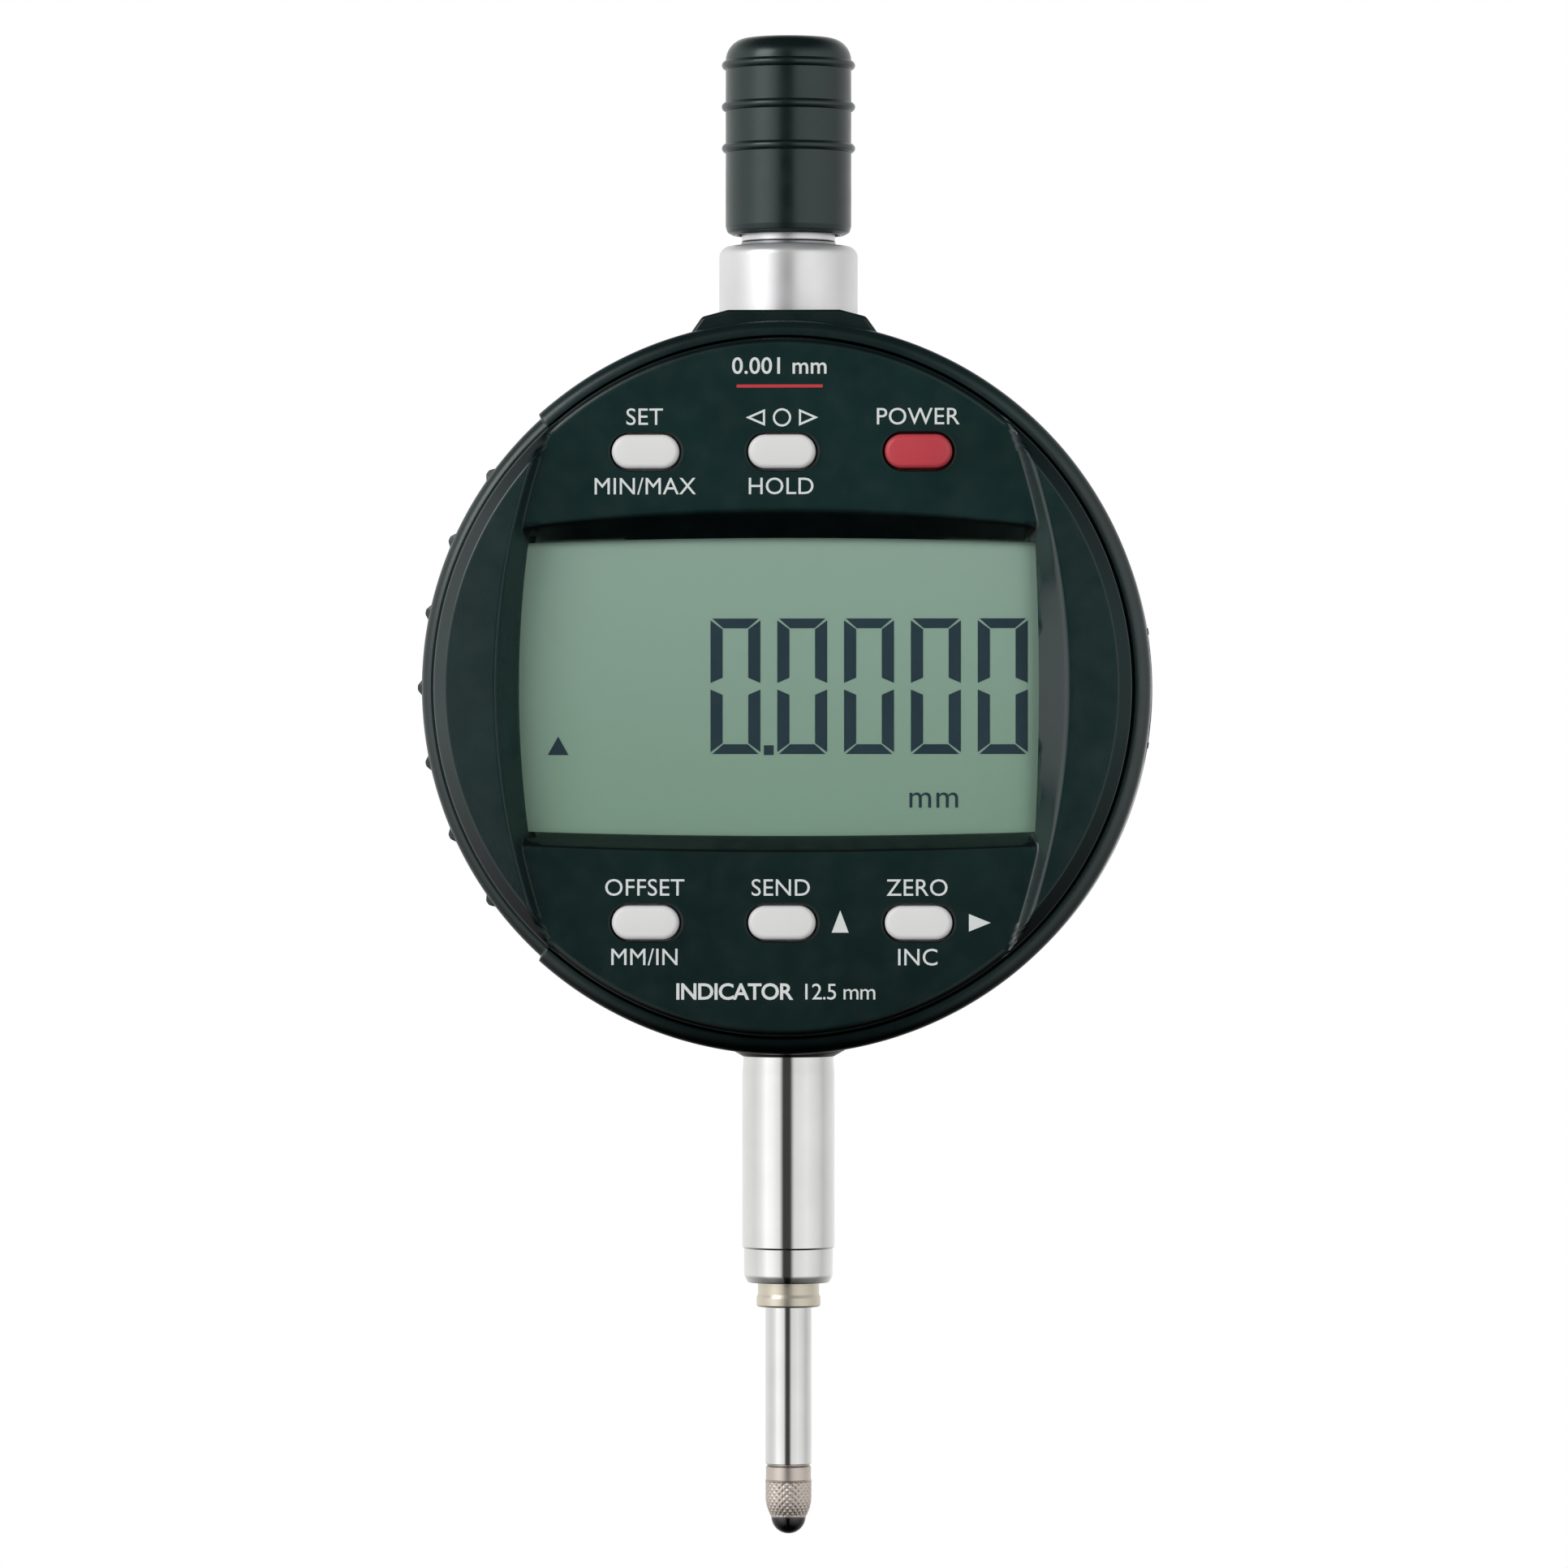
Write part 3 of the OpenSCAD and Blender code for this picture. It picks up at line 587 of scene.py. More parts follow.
def cover_height(x, z):
    """Front surface of the cover: flat face, domed cheeks and the slopes round the display."""
    r = hypot(x, z)
    base = CHEEK_TOP - sqrt(CHEEK_DOME ** 2 - CHEEK_X ** 2)
    dome = base + sqrt(CHEEK_DOME ** 2 - min(r, DISC_R) ** 2)
    off = hypot(abs(x) - CHEEK_X + CHEEK_ARC, z) - CHEEK_ARC
    level = min(VIEW_HALF, abs(z))
    step = STEP_RIGHT if x > 0 else STEP_LEFT
    steep = (CHEEK_TOP - FLOOR - step) / (crease_x(level) - view_side(level, x > 0))
    wall = dome + steep * off
    edge = max(0.0, DISC_R - r)
    cheek = soft_min(soft_min(dome, wall, 0.28), FACE + edge * RIM_SLOPE, 0.08) - rim_drop(edge, RIM_EDGE)
    up = (z - view_top(x)) / (view_top(x, 1) - view_top(x))
    down = (view_bottom(x) - z) / (view_bottom(x) - view_bottom(x, 1))
    slope = FLOOR + (FACE - FLOOR) * max(up, down)
    inner = soft_min(FACE, max(FLOOR, slope), 0.22) - rim_drop(edge, RIM_ROUND)
    height = soft_max(cheek, inner, 0.18) if off > -6 else inner
    for kx, kz in key_places():
        gap = hypot(max(0, abs(x - kx) - (KEY_W - KEY_H) / 2), z - kz) - KEY_H / 2 - KEY_GAP
        height -= rim_drop(max(gap, 0), KEY_EDGE)
    return height


def key_places():
    return [(i * KEY_PITCH, row * KEY_ROW) for row in (1, -1) for i in (-1, 0, 1)]


def evenly(start, end, count):
    return [start + (end - start) * k / count for k in range(count + 1)]


def view_outline():
    """Edge of the display opening at its floor, anticlockwise from the lower right."""
    side = evenly(-VIEW_HALF, VIEW_HALF, 24)
    right = [(view_side(z, True), z) for z in side]
    left = [(-view_side(z, False), -z) for z in side]
    top = [(x, view_top(x)) for x in evenly(20.9, -21.3, 40)]
    low = [(x, view_bottom(x)) for x in evenly(-21.3, 20.9, 40)]
    return right + top + left + low


def cheek_lines():
    """Open lines along the cheeks' inner edges and the feet of their slopes, broken off at the display."""
    lines = []
    for side in (1, -1):
        for off in [*CREASE_STOPS, *[foot(side > 0) + away for away in FOLD_STOPS]]:
            line = []
            for z in evenly(-20.5, 20.5, 100):
                x = CHEEK_X - CHEEK_ARC + sqrt((CHEEK_ARC + off) ** 2 - z ** 2)
                free = x > (view_side(z, side > 0) + 0.12 if abs(z) < 13 else 20.75)
                if hypot(x, z) < DISC_R - 1.35 and (free or abs(z) > 16):
                    line.append((side * x, z))
                else:
                    lines.append(line)
                    line = []
            lines.append(line)
    return [line for line in lines if len(line) > 1]


def cover_grid(opening, step=0.75):
    """Points that fill the cover between its lines, in staggered rows."""
    points = []
    count = int(DISC_R / step)
    for i in range(-count, count + 1):
        for j in range(-count, count + 1):
            x, z = (i + 0.5 * (j % 2)) * step, j * step * 0.87
            if hypot(x, z) < DISC_R - 1.5 and not inside((x, z), opening):
                points.append((x, z))
    return points


def front_cover():
    opening = view_outline()
    loops = [opening] + [circle(DISC_R - edge, 288) for edge in RIM_STOPS]
    holes = []
    for x, z in key_places():
        rings = [stadium(KEY_W + 2 * (KEY_GAP + grow), KEY_H + 2 * (KEY_GAP + grow), x, z)
                 for grow in (0, 0.03, 0.08, 0.15, 0.3)]
        loops += rings
        holes.append(rings[0])
    strips = cheek_lines()
    for outer in SLOPE_STOPS:
        for edge in (view_top, view_bottom):
            strips.append([(x, edge(x, outer)) for x in evenly(-20.6, 20.6, 60)])
    rim = circle(DISC_R, 288)

    def solid(p):
        return inside(p, rim) and not any(inside(p, h) for h in [opening, *holes])

    sheet = plate(loops, strips, cover_grid(opening), solid, cover_height, lambda x, z: COVER_BOTTOM)
    inner = DISC_R - 1.4
    skirt = lathe(rounded([(inner, COVER_REAR), (DISC_R, COVER_REAR, 0.1), (DISC_R, COVER_BOTTOM),
                           (inner, COVER_BOTTOM)]), 288)
    make("front_cover_shell", forward, joined(sheet, skirt), "display_unit", COVER, ["front_cover"],
         "cover_plastic", 50)


front_cover()


# ---- keys
def key(node, x, z, look, slot):
    """Key cap with a soft edge and a slightly crowned top."""
    rows = [(0, KEY_BACK), (0, KEY_FRONT - KEY_ROUND)]
    for k in range(1, 9):
        angle = pi / 2 * k / 8
        rows.append((KEY_ROUND * (1 - cos(angle)), KEY_FRONT - KEY_ROUND * (1 - sin(angle))))
    for k in range(1, 6):
        rows.append((KEY_ROUND + 0.18 * k, KEY_FRONT + KEY_CROWN * sin(pi / 2 * k / 5)))
    verts = []
    for inset, depth in rows:
        loop = stadium(KEY_W - 2 * inset, KEY_H - 2 * inset, x, z, 24)
        verts += [(px, pz, depth) for px, pz in loop]
    cap = verts, stacked(len(rows), len(loop))
    flange = prism(stadium(KEY_W + 1, KEY_H + 1, x, z), [], KEY_BACK - 0.01, KEY_BACK + 0.25)
    make(node + "_cap", forward, joined(cap, flange), node, look, [node], slot, 50)


KEYS = ["key_upper_left", "key_upper_middle", "key_power",
        "key_lower_left", "key_lower_middle", "key_lower_right"]
for node, (x, z) in zip(KEYS, key_places()):
    if node == "key_power":
        key(node, x, z, KEY_RED, "key_red")
    else:
        key(node, x, z, KEY_GREY, "key_grey")


# ---- display content
def bar(outline, depth, thick=0.01):
    """Flat printed shape."""
    return prism(anticlockwise(outline), [], depth, depth + thick)


DIGIT_W = 4.28
DIGIT_H = 11.62
DIGIT_PITCH = 5.73
DIGIT_RIGHT = 20.95
DIGIT_Z = 0.1
LCD_PRINT = LCD_FRONT + 0.015


def digit_zero(left):
    """The four upright and two lying bars of a nought."""
    shapes = []
    stroke, flat, gap, slant = 1.04, 0.84, 0.28, 0.45
    right, half = left + DIGIT_W, DIGIT_H / 2
    for outer, inner in ((left, left + stroke), (right, right - stroke)):
        for way in (1, -1):
            shapes.append([(outer, way * gap), (inner, way * (gap + slant)),
                           (inner, way * (half - 0.93)), (outer, way * (half - 0.16))])
    for way in (1, -1):
        z_out, z_in = way * half, way * (half - flat)
        shapes.append([(left + 0.14, z_out), (right - 0.14, z_out),
                       (right - stroke - 0.05, z_in), (left + stroke + 0.05, z_in)])
    return [[(x, DIGIT_Z + z) for x, z in shape] for shape in shapes]


def lettering(text, size, x, z, depth, align="CENTER", spacing=1.0, thick=0.01, weight=0.0):
    """Printed text as flat solids, in forward axes."""
    curve = bpy.data.curves.new("lettering", "FONT")
    curve.body = text
    curve.size = size
    curve.align_x = align
    curve.align_y = "CENTER"
    curve.space_character = spacing
    curve.extrude = thick / 2
    curve.offset = weight
    curve.resolution_u = 4
    holder = placed("lettering", curve)
    solid = holder.evaluated_get(bpy.context.evaluated_depsgraph_get()).to_mesh()
    verts = [(x + v.co.x, z + v.co.y, depth + thick / 2 + v.co.z) for v in solid.vertices]
    faces = [tuple(f.vertices) for f in solid.polygons]
    holder.to_mesh_clear()
    bpy.data.objects.remove(holder)
    bpy.data.curves.remove(curve)
    return verts, faces


def display_content():
    parts = []
    for i in range(5):
        for shape in digit_zero(DIGIT_RIGHT - DIGIT_W - i * DIGIT_PITCH):
            parts.append(bar(shape, LCD_PRINT))
    point_x = DIGIT_RIGHT - 4 * DIGIT_PITCH + 0.72
    parts.append(bar([(point_x - 0.42, -5.8), (point_x + 0.42, -5.8), (point_x + 0.42, -4.96),
                      (point_x - 0.42, -4.96)], LCD_PRINT))
    parts.append(bar([(-20.25, -5.8), (-18.45, -5.8), (-19.35, -4.2)], LCD_PRINT))
    parts.append(lettering("mm", 2.85, 12.9, -9.45, LCD_PRINT, spacing=1.08))
    make("lcd_segments", forward, joined(*parts), "display_unit", INK, slot="lcd_glass")


display_content()

PRINT_DEPTH = FACE + 0.004
LABEL_UP = 2.92
LABELS = [("SET", "MIN/MAX"), ("", "HOLD"), ("POWER", ""), ("OFFSET", "MM/IN"), ("SEND", ""), ("ZERO", "INC")]


def face_printing():
    parts = []
    for (x, z), (above, below) in zip(key_places(), LABELS):
        for text, up in ((above, LABEL_UP), (below, -LABEL_UP - 0.1)):
            if text:
                parts.append(lettering(text, 2.05, x - 0.1, z + up, PRINT_DEPTH, spacing=1.02))
    x, z = key_places()[1]
    z += LABEL_UP
    marks = [(circle(0.78, 40, x, z), circle(0.6, 40, x, z))]
    for side in (1, -1):
        marks.append([[(x + side * base, z - half), (x + side * tip, z), (x + side * base, z + half)]
                      for base, tip, half in ((1.45, 3.1, 0.72), (1.63, 2.65, 0.44))])
    parts += [prism(outer, [hole], PRINT_DEPTH, PRINT_DEPTH + 0.01) for outer, hole in marks]
    x, z = key_places()[4]
    parts.append(bar([(x + 4.25, z - 0.85), (x + 5.7, z - 0.85), (x + 4.98, z + 1.05)], PRINT_DEPTH))
    x, z = key_places()[5]
    parts.append(bar([(x + 4.3, z - 0.75), (x + 6.15, z), (x + 4.3, z + 0.75)], PRINT_DEPTH))
    parts += [lettering("INDICATOR", 1.95, 0.9, -26.1, PRINT_DEPTH, "RIGHT", 0.93, weight=0.035),
              lettering("12.5 mm", 1.95, 1.6, -26.1, PRINT_DEPTH, "LEFT", 0.93),
              lettering("0.001 mm", 2.0, -0.2, 27.4, PRINT_DEPTH, spacing=1.02, weight=0.02)]
    make("face_printing", forward, joined(*parts), "display_unit", PRINT, slot="cover_plastic")
    line = [(-3.9, 25.6, 0.12), (3.5, 25.6, 0.12), (3.5, 25.87, 0.12), (-3.9, 25.87, 0.12)]
    underline = bar(rounded(line), PRINT_DEPTH)
    make("face_underline", forward, underline, "display_unit", RED_PRINT, slot="cover_plastic")


face_printing()

# ---- case
GRIP_R = 31.1
GRIP_HALF = 48
RIB_STEP = 12
RIB_BASE = 0.8
RIB_TIP = 0.12
RIB_STOPS = (0.12, 0.2, 0.3, 0.42, 0.54, 0.66, 0.74, 0.8, 0.9)
COVER_IN = 30
CAVITY_R = 27.4
CAVITY_REAR = -6.8
CAVITY_FRONT = 4.5
FLANK_STOPS = (-6.08, -6.02, -3, 0, 3, 5.82, 5.88, 6.2, 7, 8, 8.5, 8.6, 9)
RECESS_R = 28.7
WELL_R = 30.1
REAR = -8
LIP = 10.2
COVER_REAR_EDGE = -5.9
COVER_FRONT_EDGE = 5.7
RIB_FRONT = 8.55
SLIP = 0.15
CELL_X = -17
TRAY_R = 30.2


def rib_rise(angle):
    """Height of the grip ribs over the recessed flank, at an angle in degrees from its middle."""
    nearest = RIB_STEP * max(-3, min(3, round(angle / RIB_STEP)))
    away = abs(radians(angle - nearest)) * GRIP_R
    part = max(0.0, min(1.0, (RIB_BASE - away) / (RIB_BASE - RIB_TIP)))
    return (CASE_R - GRIP_R) * part * part * (3 - 2 * part)


def flank_angles(reach, step=1.25):
    """Angles from the middle of the grip, close together on the ribs and at the grip's ends."""
    count = round(2 * reach / step)
    angles = {round(-reach + 2 * reach * k / count, 3) for k in range(count + 1)}
    for rib in range(-3, 4):
        for away in RIB_STOPS:
            for side in (1, -1):
                angles.add(round(rib * RIB_STEP + side * degrees(away / GRIP_R), 3))
    if reach > GRIP_HALF:
        for away in (-0.25, -0.15, -0.05, 0, 0.05, 0.15, 0.25):
            for side in (1, -1):
                angles.add(round(side * (GRIP_HALF + away), 3))
    return sorted(angles)


def flank_drop(angle, depth):
    """How far the case's flank stands back from its full radius, at an angle from the grip's middle."""
    edge = max(0.0, min(1.0, (GRIP_HALF + 0.2 - abs(angle)) / 0.4))
    drop = (CASE_R - GRIP_R) * edge * edge * (3 - 2 * edge)
    inside_cover = COVER_REAR_EDGE - SLIP < depth < COVER_FRONT_EDGE + SLIP
    if inside_cover and abs(angle) < GRIP_HALF - 0.1:
        return CASE_R - COVER_IN + 0.2
    if COVER_FRONT_EDGE + SLIP <= depth <= RIB_FRONT:
        drop -= rib_rise(angle)
    return drop


def sweep(outline, angles, radius, closed):
    """Turns an outline of (r, depth, on the flank) about the dial axis, through the given angles."""
    verts = []
    count = len(outline)
    for angle in angles:
        turn = radians(180 + angle)
        for r, depth, flank in outline:
            r = radius(r, depth, angle) if flank else r
            verts.append((*polar(r, turn), depth))
    if not closed:
        return verts, stacked(len(angles), count)
    last = (len(angles) - 1) * count
    wrap = [(last + k, last + (k + 1) % count, (k + 1) % count, k) for k in range(count)]
    return verts, bands(len(angles), count) + wrap


def carve(solid, cutters):
    """The solid less each cutter, all in forward axes."""
    holders = []
    for verts, faces in [solid, *cutters]:
        mesh = bpy.data.meshes.new("carve")
        mesh.from_pydata(verts, [], faces)
        work = bmesh.new()
        work.from_mesh(mesh)
        bmesh.ops.remove_doubles(work, verts=work.verts, dist=1e-4)
        bmesh.ops.recalc_face_normals(work, faces=work.faces)
        work.to_mesh(mesh)
        work.free()
        holders.append(placed("carve", mesh))
    for cutter in holders[1:]:
        cut = holders[0].modifiers.new("cut", "BOOLEAN")
        cut.operation = "DIFFERENCE"
        cut.solver = "EXACT"
        cut.object = cutter
    final = holders[0].evaluated_get(bpy.context.evaluated_depsgraph_get())
    result = final.to_mesh()
    verts = [tuple(v.co) for v in result.vertices]
    faces = [tuple(f.vertices) for f in result.polygons]
    final.to_mesh_clear()
    for holder in holders:
        mesh = holder.data
        bpy.data.objects.remove(holder)
        bpy.data.meshes.remove(mesh)
    return verts, faces


def box(x0, x1, z0, z1, rear, front):
    return prism([(x0, z0), (x1, z0), (x1, z1), (x0, z1)], [], rear, front)


def arc_rows(r_mid, d_mid, radius, start, end, steps, flank):
    rows = []
    for k in range(steps + 1):
        turn = radians(start + (end - start) * k / steps)
        rows.append((*polar(radius, turn, r_mid, d_mid), flank))
    return rows


def tube_part(r_out, r_in, rear, front, x, z):
    return prism(circle(r_out, 48, x, z), [circle(r_in, 32, x, z)], rear, front)


def shell_outline():
    """Section of the case's wall from its cavity round the back and the front lip to the display's well."""
    rear_round, lip_round, well_edge = 1.4, 1.15, 0.12
    outline = [(CAVITY_R, CAVITY_FRONT, False), (CAVITY_R, CAVITY_REAR, False),
               (RECESS_R, CAVITY_REAR, False), (RECESS_R, REAR + 0.15, False), (RECESS_R + 0.15, REAR, False)]
    outline += arc_rows(CASE_R - rear_round, REAR + rear_round, rear_round, -90, 0, 10, True)
    outline += [(CASE_R, depth, True) for depth in FLANK_STOPS]
    outline += arc_rows(CASE_R - lip_round, LIP - lip_round, lip_round, 0, 90, 8, True)
    outline += arc_rows(WELL_R + well_edge, LIP - well_edge, well_edge, 90, 180, 3, False)
    return outline + [(WELL_R, 6, False), (6.06, 6, False), (6.06, CAVITY_FRONT, False)]


def housing():
    angles = [*flank_angles(60), *range(61, 300)]
    shell = sweep(shell_outline(), angles, lambda r, d, a: r - (flank_drop(a, d) if a < 100 else 0), True)
    openings = [box(-33, -22, -13.45, 13.45, -5.95, -0.05), box(20, 31, -5.15, 5.15, -2.65, 2.65),
                flank_patch(port_outline(0.15), [(29.95, 0), (34, 0)])]
    shell = carve(shell, openings)
    half = [(8.05, 29.5), (8.05, 30.4, 0.3), (7.05, 31.85, 0.6), (4.8, 32.45, 0.5)]
    shoulder = rounded(half + [(-x, z, *r) for x, z, *r in reversed(half)])
    shell = joined(shell, soft_prism(shoulder, -6.5, 8.4, 0.35))
    make("case_shell", forward, shell, "case", CASE, ["housing"], "case_plastic", 38)
    boss = lathe(rounded([(3.42, -31.9), (3.95, -31.9, 0.1), (5, -31.3, 0.2), (5, -30), (3.42, -30)]), 120)
    make("case_boss", upright, boss, "case", CASE, [], "case_plastic")
    posts = [tube_part(2.4, 0.95, CAVITY_REAR, CAVITY_FRONT, x, z) for x, z in BACK_SCREWS]
    posts += [tube_part(2.0, 0.75, -4.9, CAVITY_FRONT, x, z) for x, z in CHASSIS_SCREWS]
    posts += [box(-25.5, -5, z, z + 1.4, -6.5, CAVITY_FRONT) for z in (13.55, -14.95)]
    make("case_posts", forward, joined(*posts), "case", CASE, [], "case_plastic")


def port_outline(grow=0.0, z_half=6.5, d_half=3.5, count=22, along=8):
    """Round-ended outline of the data port, as (height, depth), anticlockwise."""
    r, straight = d_half + grow, z_half - d_half
    loop = []
    for side in (1, -1):
        for k in range(count + 1):
            loop.append(polar(r, pi * k / count - side * pi / 2, side * straight))
        loop += [(side * straight * (1 - 2 * k / along), side * r) for k in range(1, along)]
    return loop


def flank_patch(loop, layers, turn=0.0, step=0.7):
    """Solid on the right flank from an outline of (z, depth), between layers of (radius, inset).
    Points inside the outline keep its ends round with the flank."""
    count = len(loop)
    edges = [(i, (i + 1) % count) for i in range(count)]
    core = [(0.85 * z, 0.85 * d) for z, d in loop]
    grid = [(step * a, step * b) for a in range(-9, 10) for b in range(-4, 5)]
    spare = [p for p in grid if inside(p, core)]
    faces = delaunay_2d_cdt([Vector(p) for p in loop + spare], edges, [], 1, 1e-6)[2]

    def on_flank(r, points):
        return [(*polar(r, z / r + turn), d) for z, d in points]

    verts = []
    for r, inset in layers:
        sizes = [1 - inset / hypot(*point) for point in loop]
        verts += on_flank(r, [(z * size, d * size) for (z, d), size in zip(loop, sizes)])
    solid = bands(len(layers), count)
    for end, first in ((0, 0), (-1, len(verts) - count)):
        index = [*range(first, first + count), *range(len(verts), len(verts) + len(spare))]
        verts += on_flank(layers[end][0], spare)
        solid += [tuple(index[v] for v in f) for f in faces]
    return verts, solid


def soft_prism(outline, rear, front, radius, steps=4):
    """Prism in forward axes with rounded front and rear edges, for an outline round the dial axis."""
    layers = []
    for k in range(steps + 1):
        turn = pi / 2 * k / steps
        layers.append((radius * (1 - sin(turn)), rear + radius * (1 - cos(turn))))
    layers += [(inset, rear + front - depth) for inset, depth in reversed(layers)]
    verts = []
    count = len(outline)
    for inset, depth in layers:
        for i in range(count):
            before, here, after = (Vector(outline[j % count]) for j in (i - 1, i, i + 1))
            along = (after - before).normalized()
            verts.append((here.x - along.y * inset, here.y + along.x * inset, depth))
    return verts, stacked(len(layers), count)


housing()


def drawer():
    angles = flank_angles(GRIP_HALF - 0.6)
    rows = [(COVER_IN, COVER_REAR_EDGE, False), (GRIP_R - 0.1, COVER_REAR_EDGE, False),
            (GRIP_R - 0.03, COVER_REAR_EDGE + 0.03, False), (GRIP_R, COVER_REAR_EDGE + 0.1, False),
            (GRIP_R, COVER_REAR_EDGE + 0.12, True), (GRIP_R, 0, True),
            (GRIP_R, COVER_FRONT_EDGE - 0.12, True), (GRIP_R, COVER_FRONT_EDGE - 0.1, False),
            (GRIP_R - 0.03, COVER_FRONT_EDGE - 0.03, False),
            (GRIP_R - 0.1, COVER_FRONT_EDGE, False), (COVER_IN, COVER_FRONT_EDGE, False)]
    cover = sweep(rows, angles, lambda r, d, a: r + rib_rise(a), False)
    tray_z, tray_x, floor_front, front = 13.3, -4.2, -5.2, -0.2
    arc = [asin(tray_z / TRAY_R) * (1 - 2 * k / 24) for k in range(25)]
    edge = [(-TRAY_R * cos(a), TRAY_R * sin(a)) for a in arc]
    outline = anticlockwise(edge + [(tray_x, tray_z * end) for end in (-1, 1)])
    tray = prism(outline, [], -5.8, floor_front)
    walls = prism(outline, [circle(12.35, 96, CELL_X, 0)], floor_front, front)
    body = joined(cover, tray, walls)
    make("drawer_body", forward, body, "battery_drawer", CASE, ["battery_drawer"], "case_plastic", 38)


drawer()


def cell():
    outline = rounded([(0, -5.19), (12.25, -5.19, 0.3), (12.25, -0.85, 0.35), (11.6, -0.8, 0.1),
                       (11.3, -0.9, 0.1), (10.9, -0.9, 0.1), (10.7, -0.3, 0.3), (0, -0.3)])
    verts, faces = lathe(outline, 128)
    verts = [(x + CELL_X, y, d) for x, y, d in verts]
    make("coin_cell", forward, (verts, faces), "battery_drawer", CELL, ["battery_cell"], "cell_steel")


cell()


def back_plate():
    rim, rear, front = 28.6, -8.5, -7.1
    loops = [circle(rim - inset, 200) for inset in (0, 0.08, 0.25, 0.5, 3, 3.2, 3.5, 3.7, 13)]
    holes = []
    for x, z in BACK_SCREWS:
        loops += [circle(r, 48, x, z) for r in (2.35, 2.2, 2.12, 2.05, 1.1)]
        holes.append(circle(1.1, 48, x, z))

    def surface(x, z):
        r = hypot(x, z)
        edge = max(0.0, r - (rim - 0.5)) / 0.5
        depth = rear + 0.4 * (1 - sqrt(max(0.0, 1 - edge * edge)))
        if rim - 3.55 < r < rim - 3.15:
            depth += 0.25
        for sx, sz in BACK_SCREWS:
            away = hypot(x - sx, z - sz)
            if away < 2.1:
                return rear + 0.9
            if away < 2.3:
                depth = max(depth, rear + 0.1)
        return depth

    def solid(p):
        return hypot(*p) < rim and not any(inside(p, h) for h in holes)

    sheet = plate(loops, [], [(0, 0)], solid, lambda x, z: front, surface)
    make("rear_cover", forward, sheet, "case", CASE, ["back_plate"], "case_plastic")


back_plate()


def data_cover():
    parts = [flank_patch(port_outline(), [(30.1, 0), (31.1, 0), (31.3, 0.05), (31.4, 0.15), (31.44, 0.3)])]
    ridge = [(z, d) for d, z in reversed(stadium(3.4, 0.56))]
    for side in (1, -1):
        layers = [(31.3, 0), (31.5, 0), (31.58, 0.08), (31.6, 0.16)]
        parts.append(flank_patch(ridge, layers, radians(side * 9)))
    parts.append(box(26.4, 30.3, -3.6, 3.6, -1.3, 1.3))
    make("port_cover", forward, joined(*parts), "data_cover", RUBBER, ["data_cover"], "rubber_black")


data_cover()


# ---- spindle line
COLLAR_TOP = 38.35


def turned(name, outline, body, look, nodes, slot, segments=160, shape=None):
    make(name, upright, lathe(rounded(outline), segments, shape), body, look, nodes, slot, 32)


turned("stem_tube", [
    (2.4, -43), (2.67, -43), (2.67, -51.5, 0.1), (3.55, -51.5, 0.15), (3.84, -50.9, 0.5),
    (3.86, -48.55, 0.03), (4, -48.4, 0.08), (4, -33.6), (3.985, -33.25), (3.945, -32.75), (3.92, -32.3),
    (3.91, -31.9), (3.4, -31.9), (3.4, -26.4, 0.1), (2.4, -26.4, 0.1)],
    "case", STEM, ["mounting_stem"], "chrome_steel")
turned("lower_bush", [
    (2.03, -43), (2.03, -53.6, 0.1), (2.66, -53.6, 0.1), (2.77, -53.45, 0.1), (2.77, -52.8, 0.2),
    (2.65, -52.5, 0.2), (2.65, -43)], "case", BRASS, ["stem_bush"], "bush_brass")
turned("spindle_rod", [
    (0, -62.8), (1.26, -62.8), (1.26, -67.4), (1.8, -67.4, 0.1), (2, -67.2, 0.1), (2, -25.17), (1.7, -25.17),
    (1.7, -24.33), (2, -24.33), (2, 53.7, 0.1), (1.8, 53.9, 0.1), (0.8, 53.9), (0.8, 49.9), (0, 49.9)],
    "spindle", ROD, ["spindle"], "hard_steel")
turned("collar", [
    (2.5, 33), (3.8, 33), (3.8, 27), (4.9, 27), (4.9, 30.5), (6, 30.5), (6, COLLAR_TOP, 1),
    (4.07, COLLAR_TOP, 0.1), (4.07, 34), (2.5, 34)], "case", SATIN, ["upper_collar"], "satin_steel")
turned("neck_tube", [
    (3.2, 34), (4.05, 34), (4.05, COLLAR_TOP), (3.65, COLLAR_TOP), (3.65, 38.8), (4.05, 38.8, 0.03),
    (4.05, 52.5, 0.4), (3.2, 52.5, 0.15)], "case", SATIN, ["upper_neck"], "satin_steel")
turned("neck_band", [
    (3.67, 38.37), (4.0, 38.37, 0.05), (4.1, 38.45, 0.1), (4.1, 38.65, 0.1), (4.0, 38.79, 0.1),
    (3.67, 38.79)], "case", SPRING, ["neck_ring"], "spring_steel")


KNURL_LOW = -71.75
KNURL_HIGH = -68.7
KNURL_COUNT = 24
HOLDER_R = 2.02
HOLDER_BEND = -70.1
KNURL_PITCH = 0.53


def knurl(angle, r, h):
    """Diamond knurl between two heights, cut into the plain radius."""
    if r < 1.46 or not KNURL_LOW < h < KNURL_HIGH:
        return r
    round_way = KNURL_COUNT * angle / (2 * pi)
    rise = h / KNURL_PITCH
    cuts = [abs((round_way + side * rise) % 1 - 0.5) * 2 for side in (1, -1)]
    fade = min(1.0, (h - KNURL_LOW) / 0.12, (KNURL_HIGH - h) / 0.12)
    return r - 0.09 * fade * (1 - min(cuts)) ** 0.8


def holder_radius(h):
    """Outside of the contact's holder, drawn in towards the ball."""
    low = (h - HOLDER_BEND) / 1.85
    return HOLDER_R if h > HOLDER_BEND else HOLDER_R - 0.57 * low * low


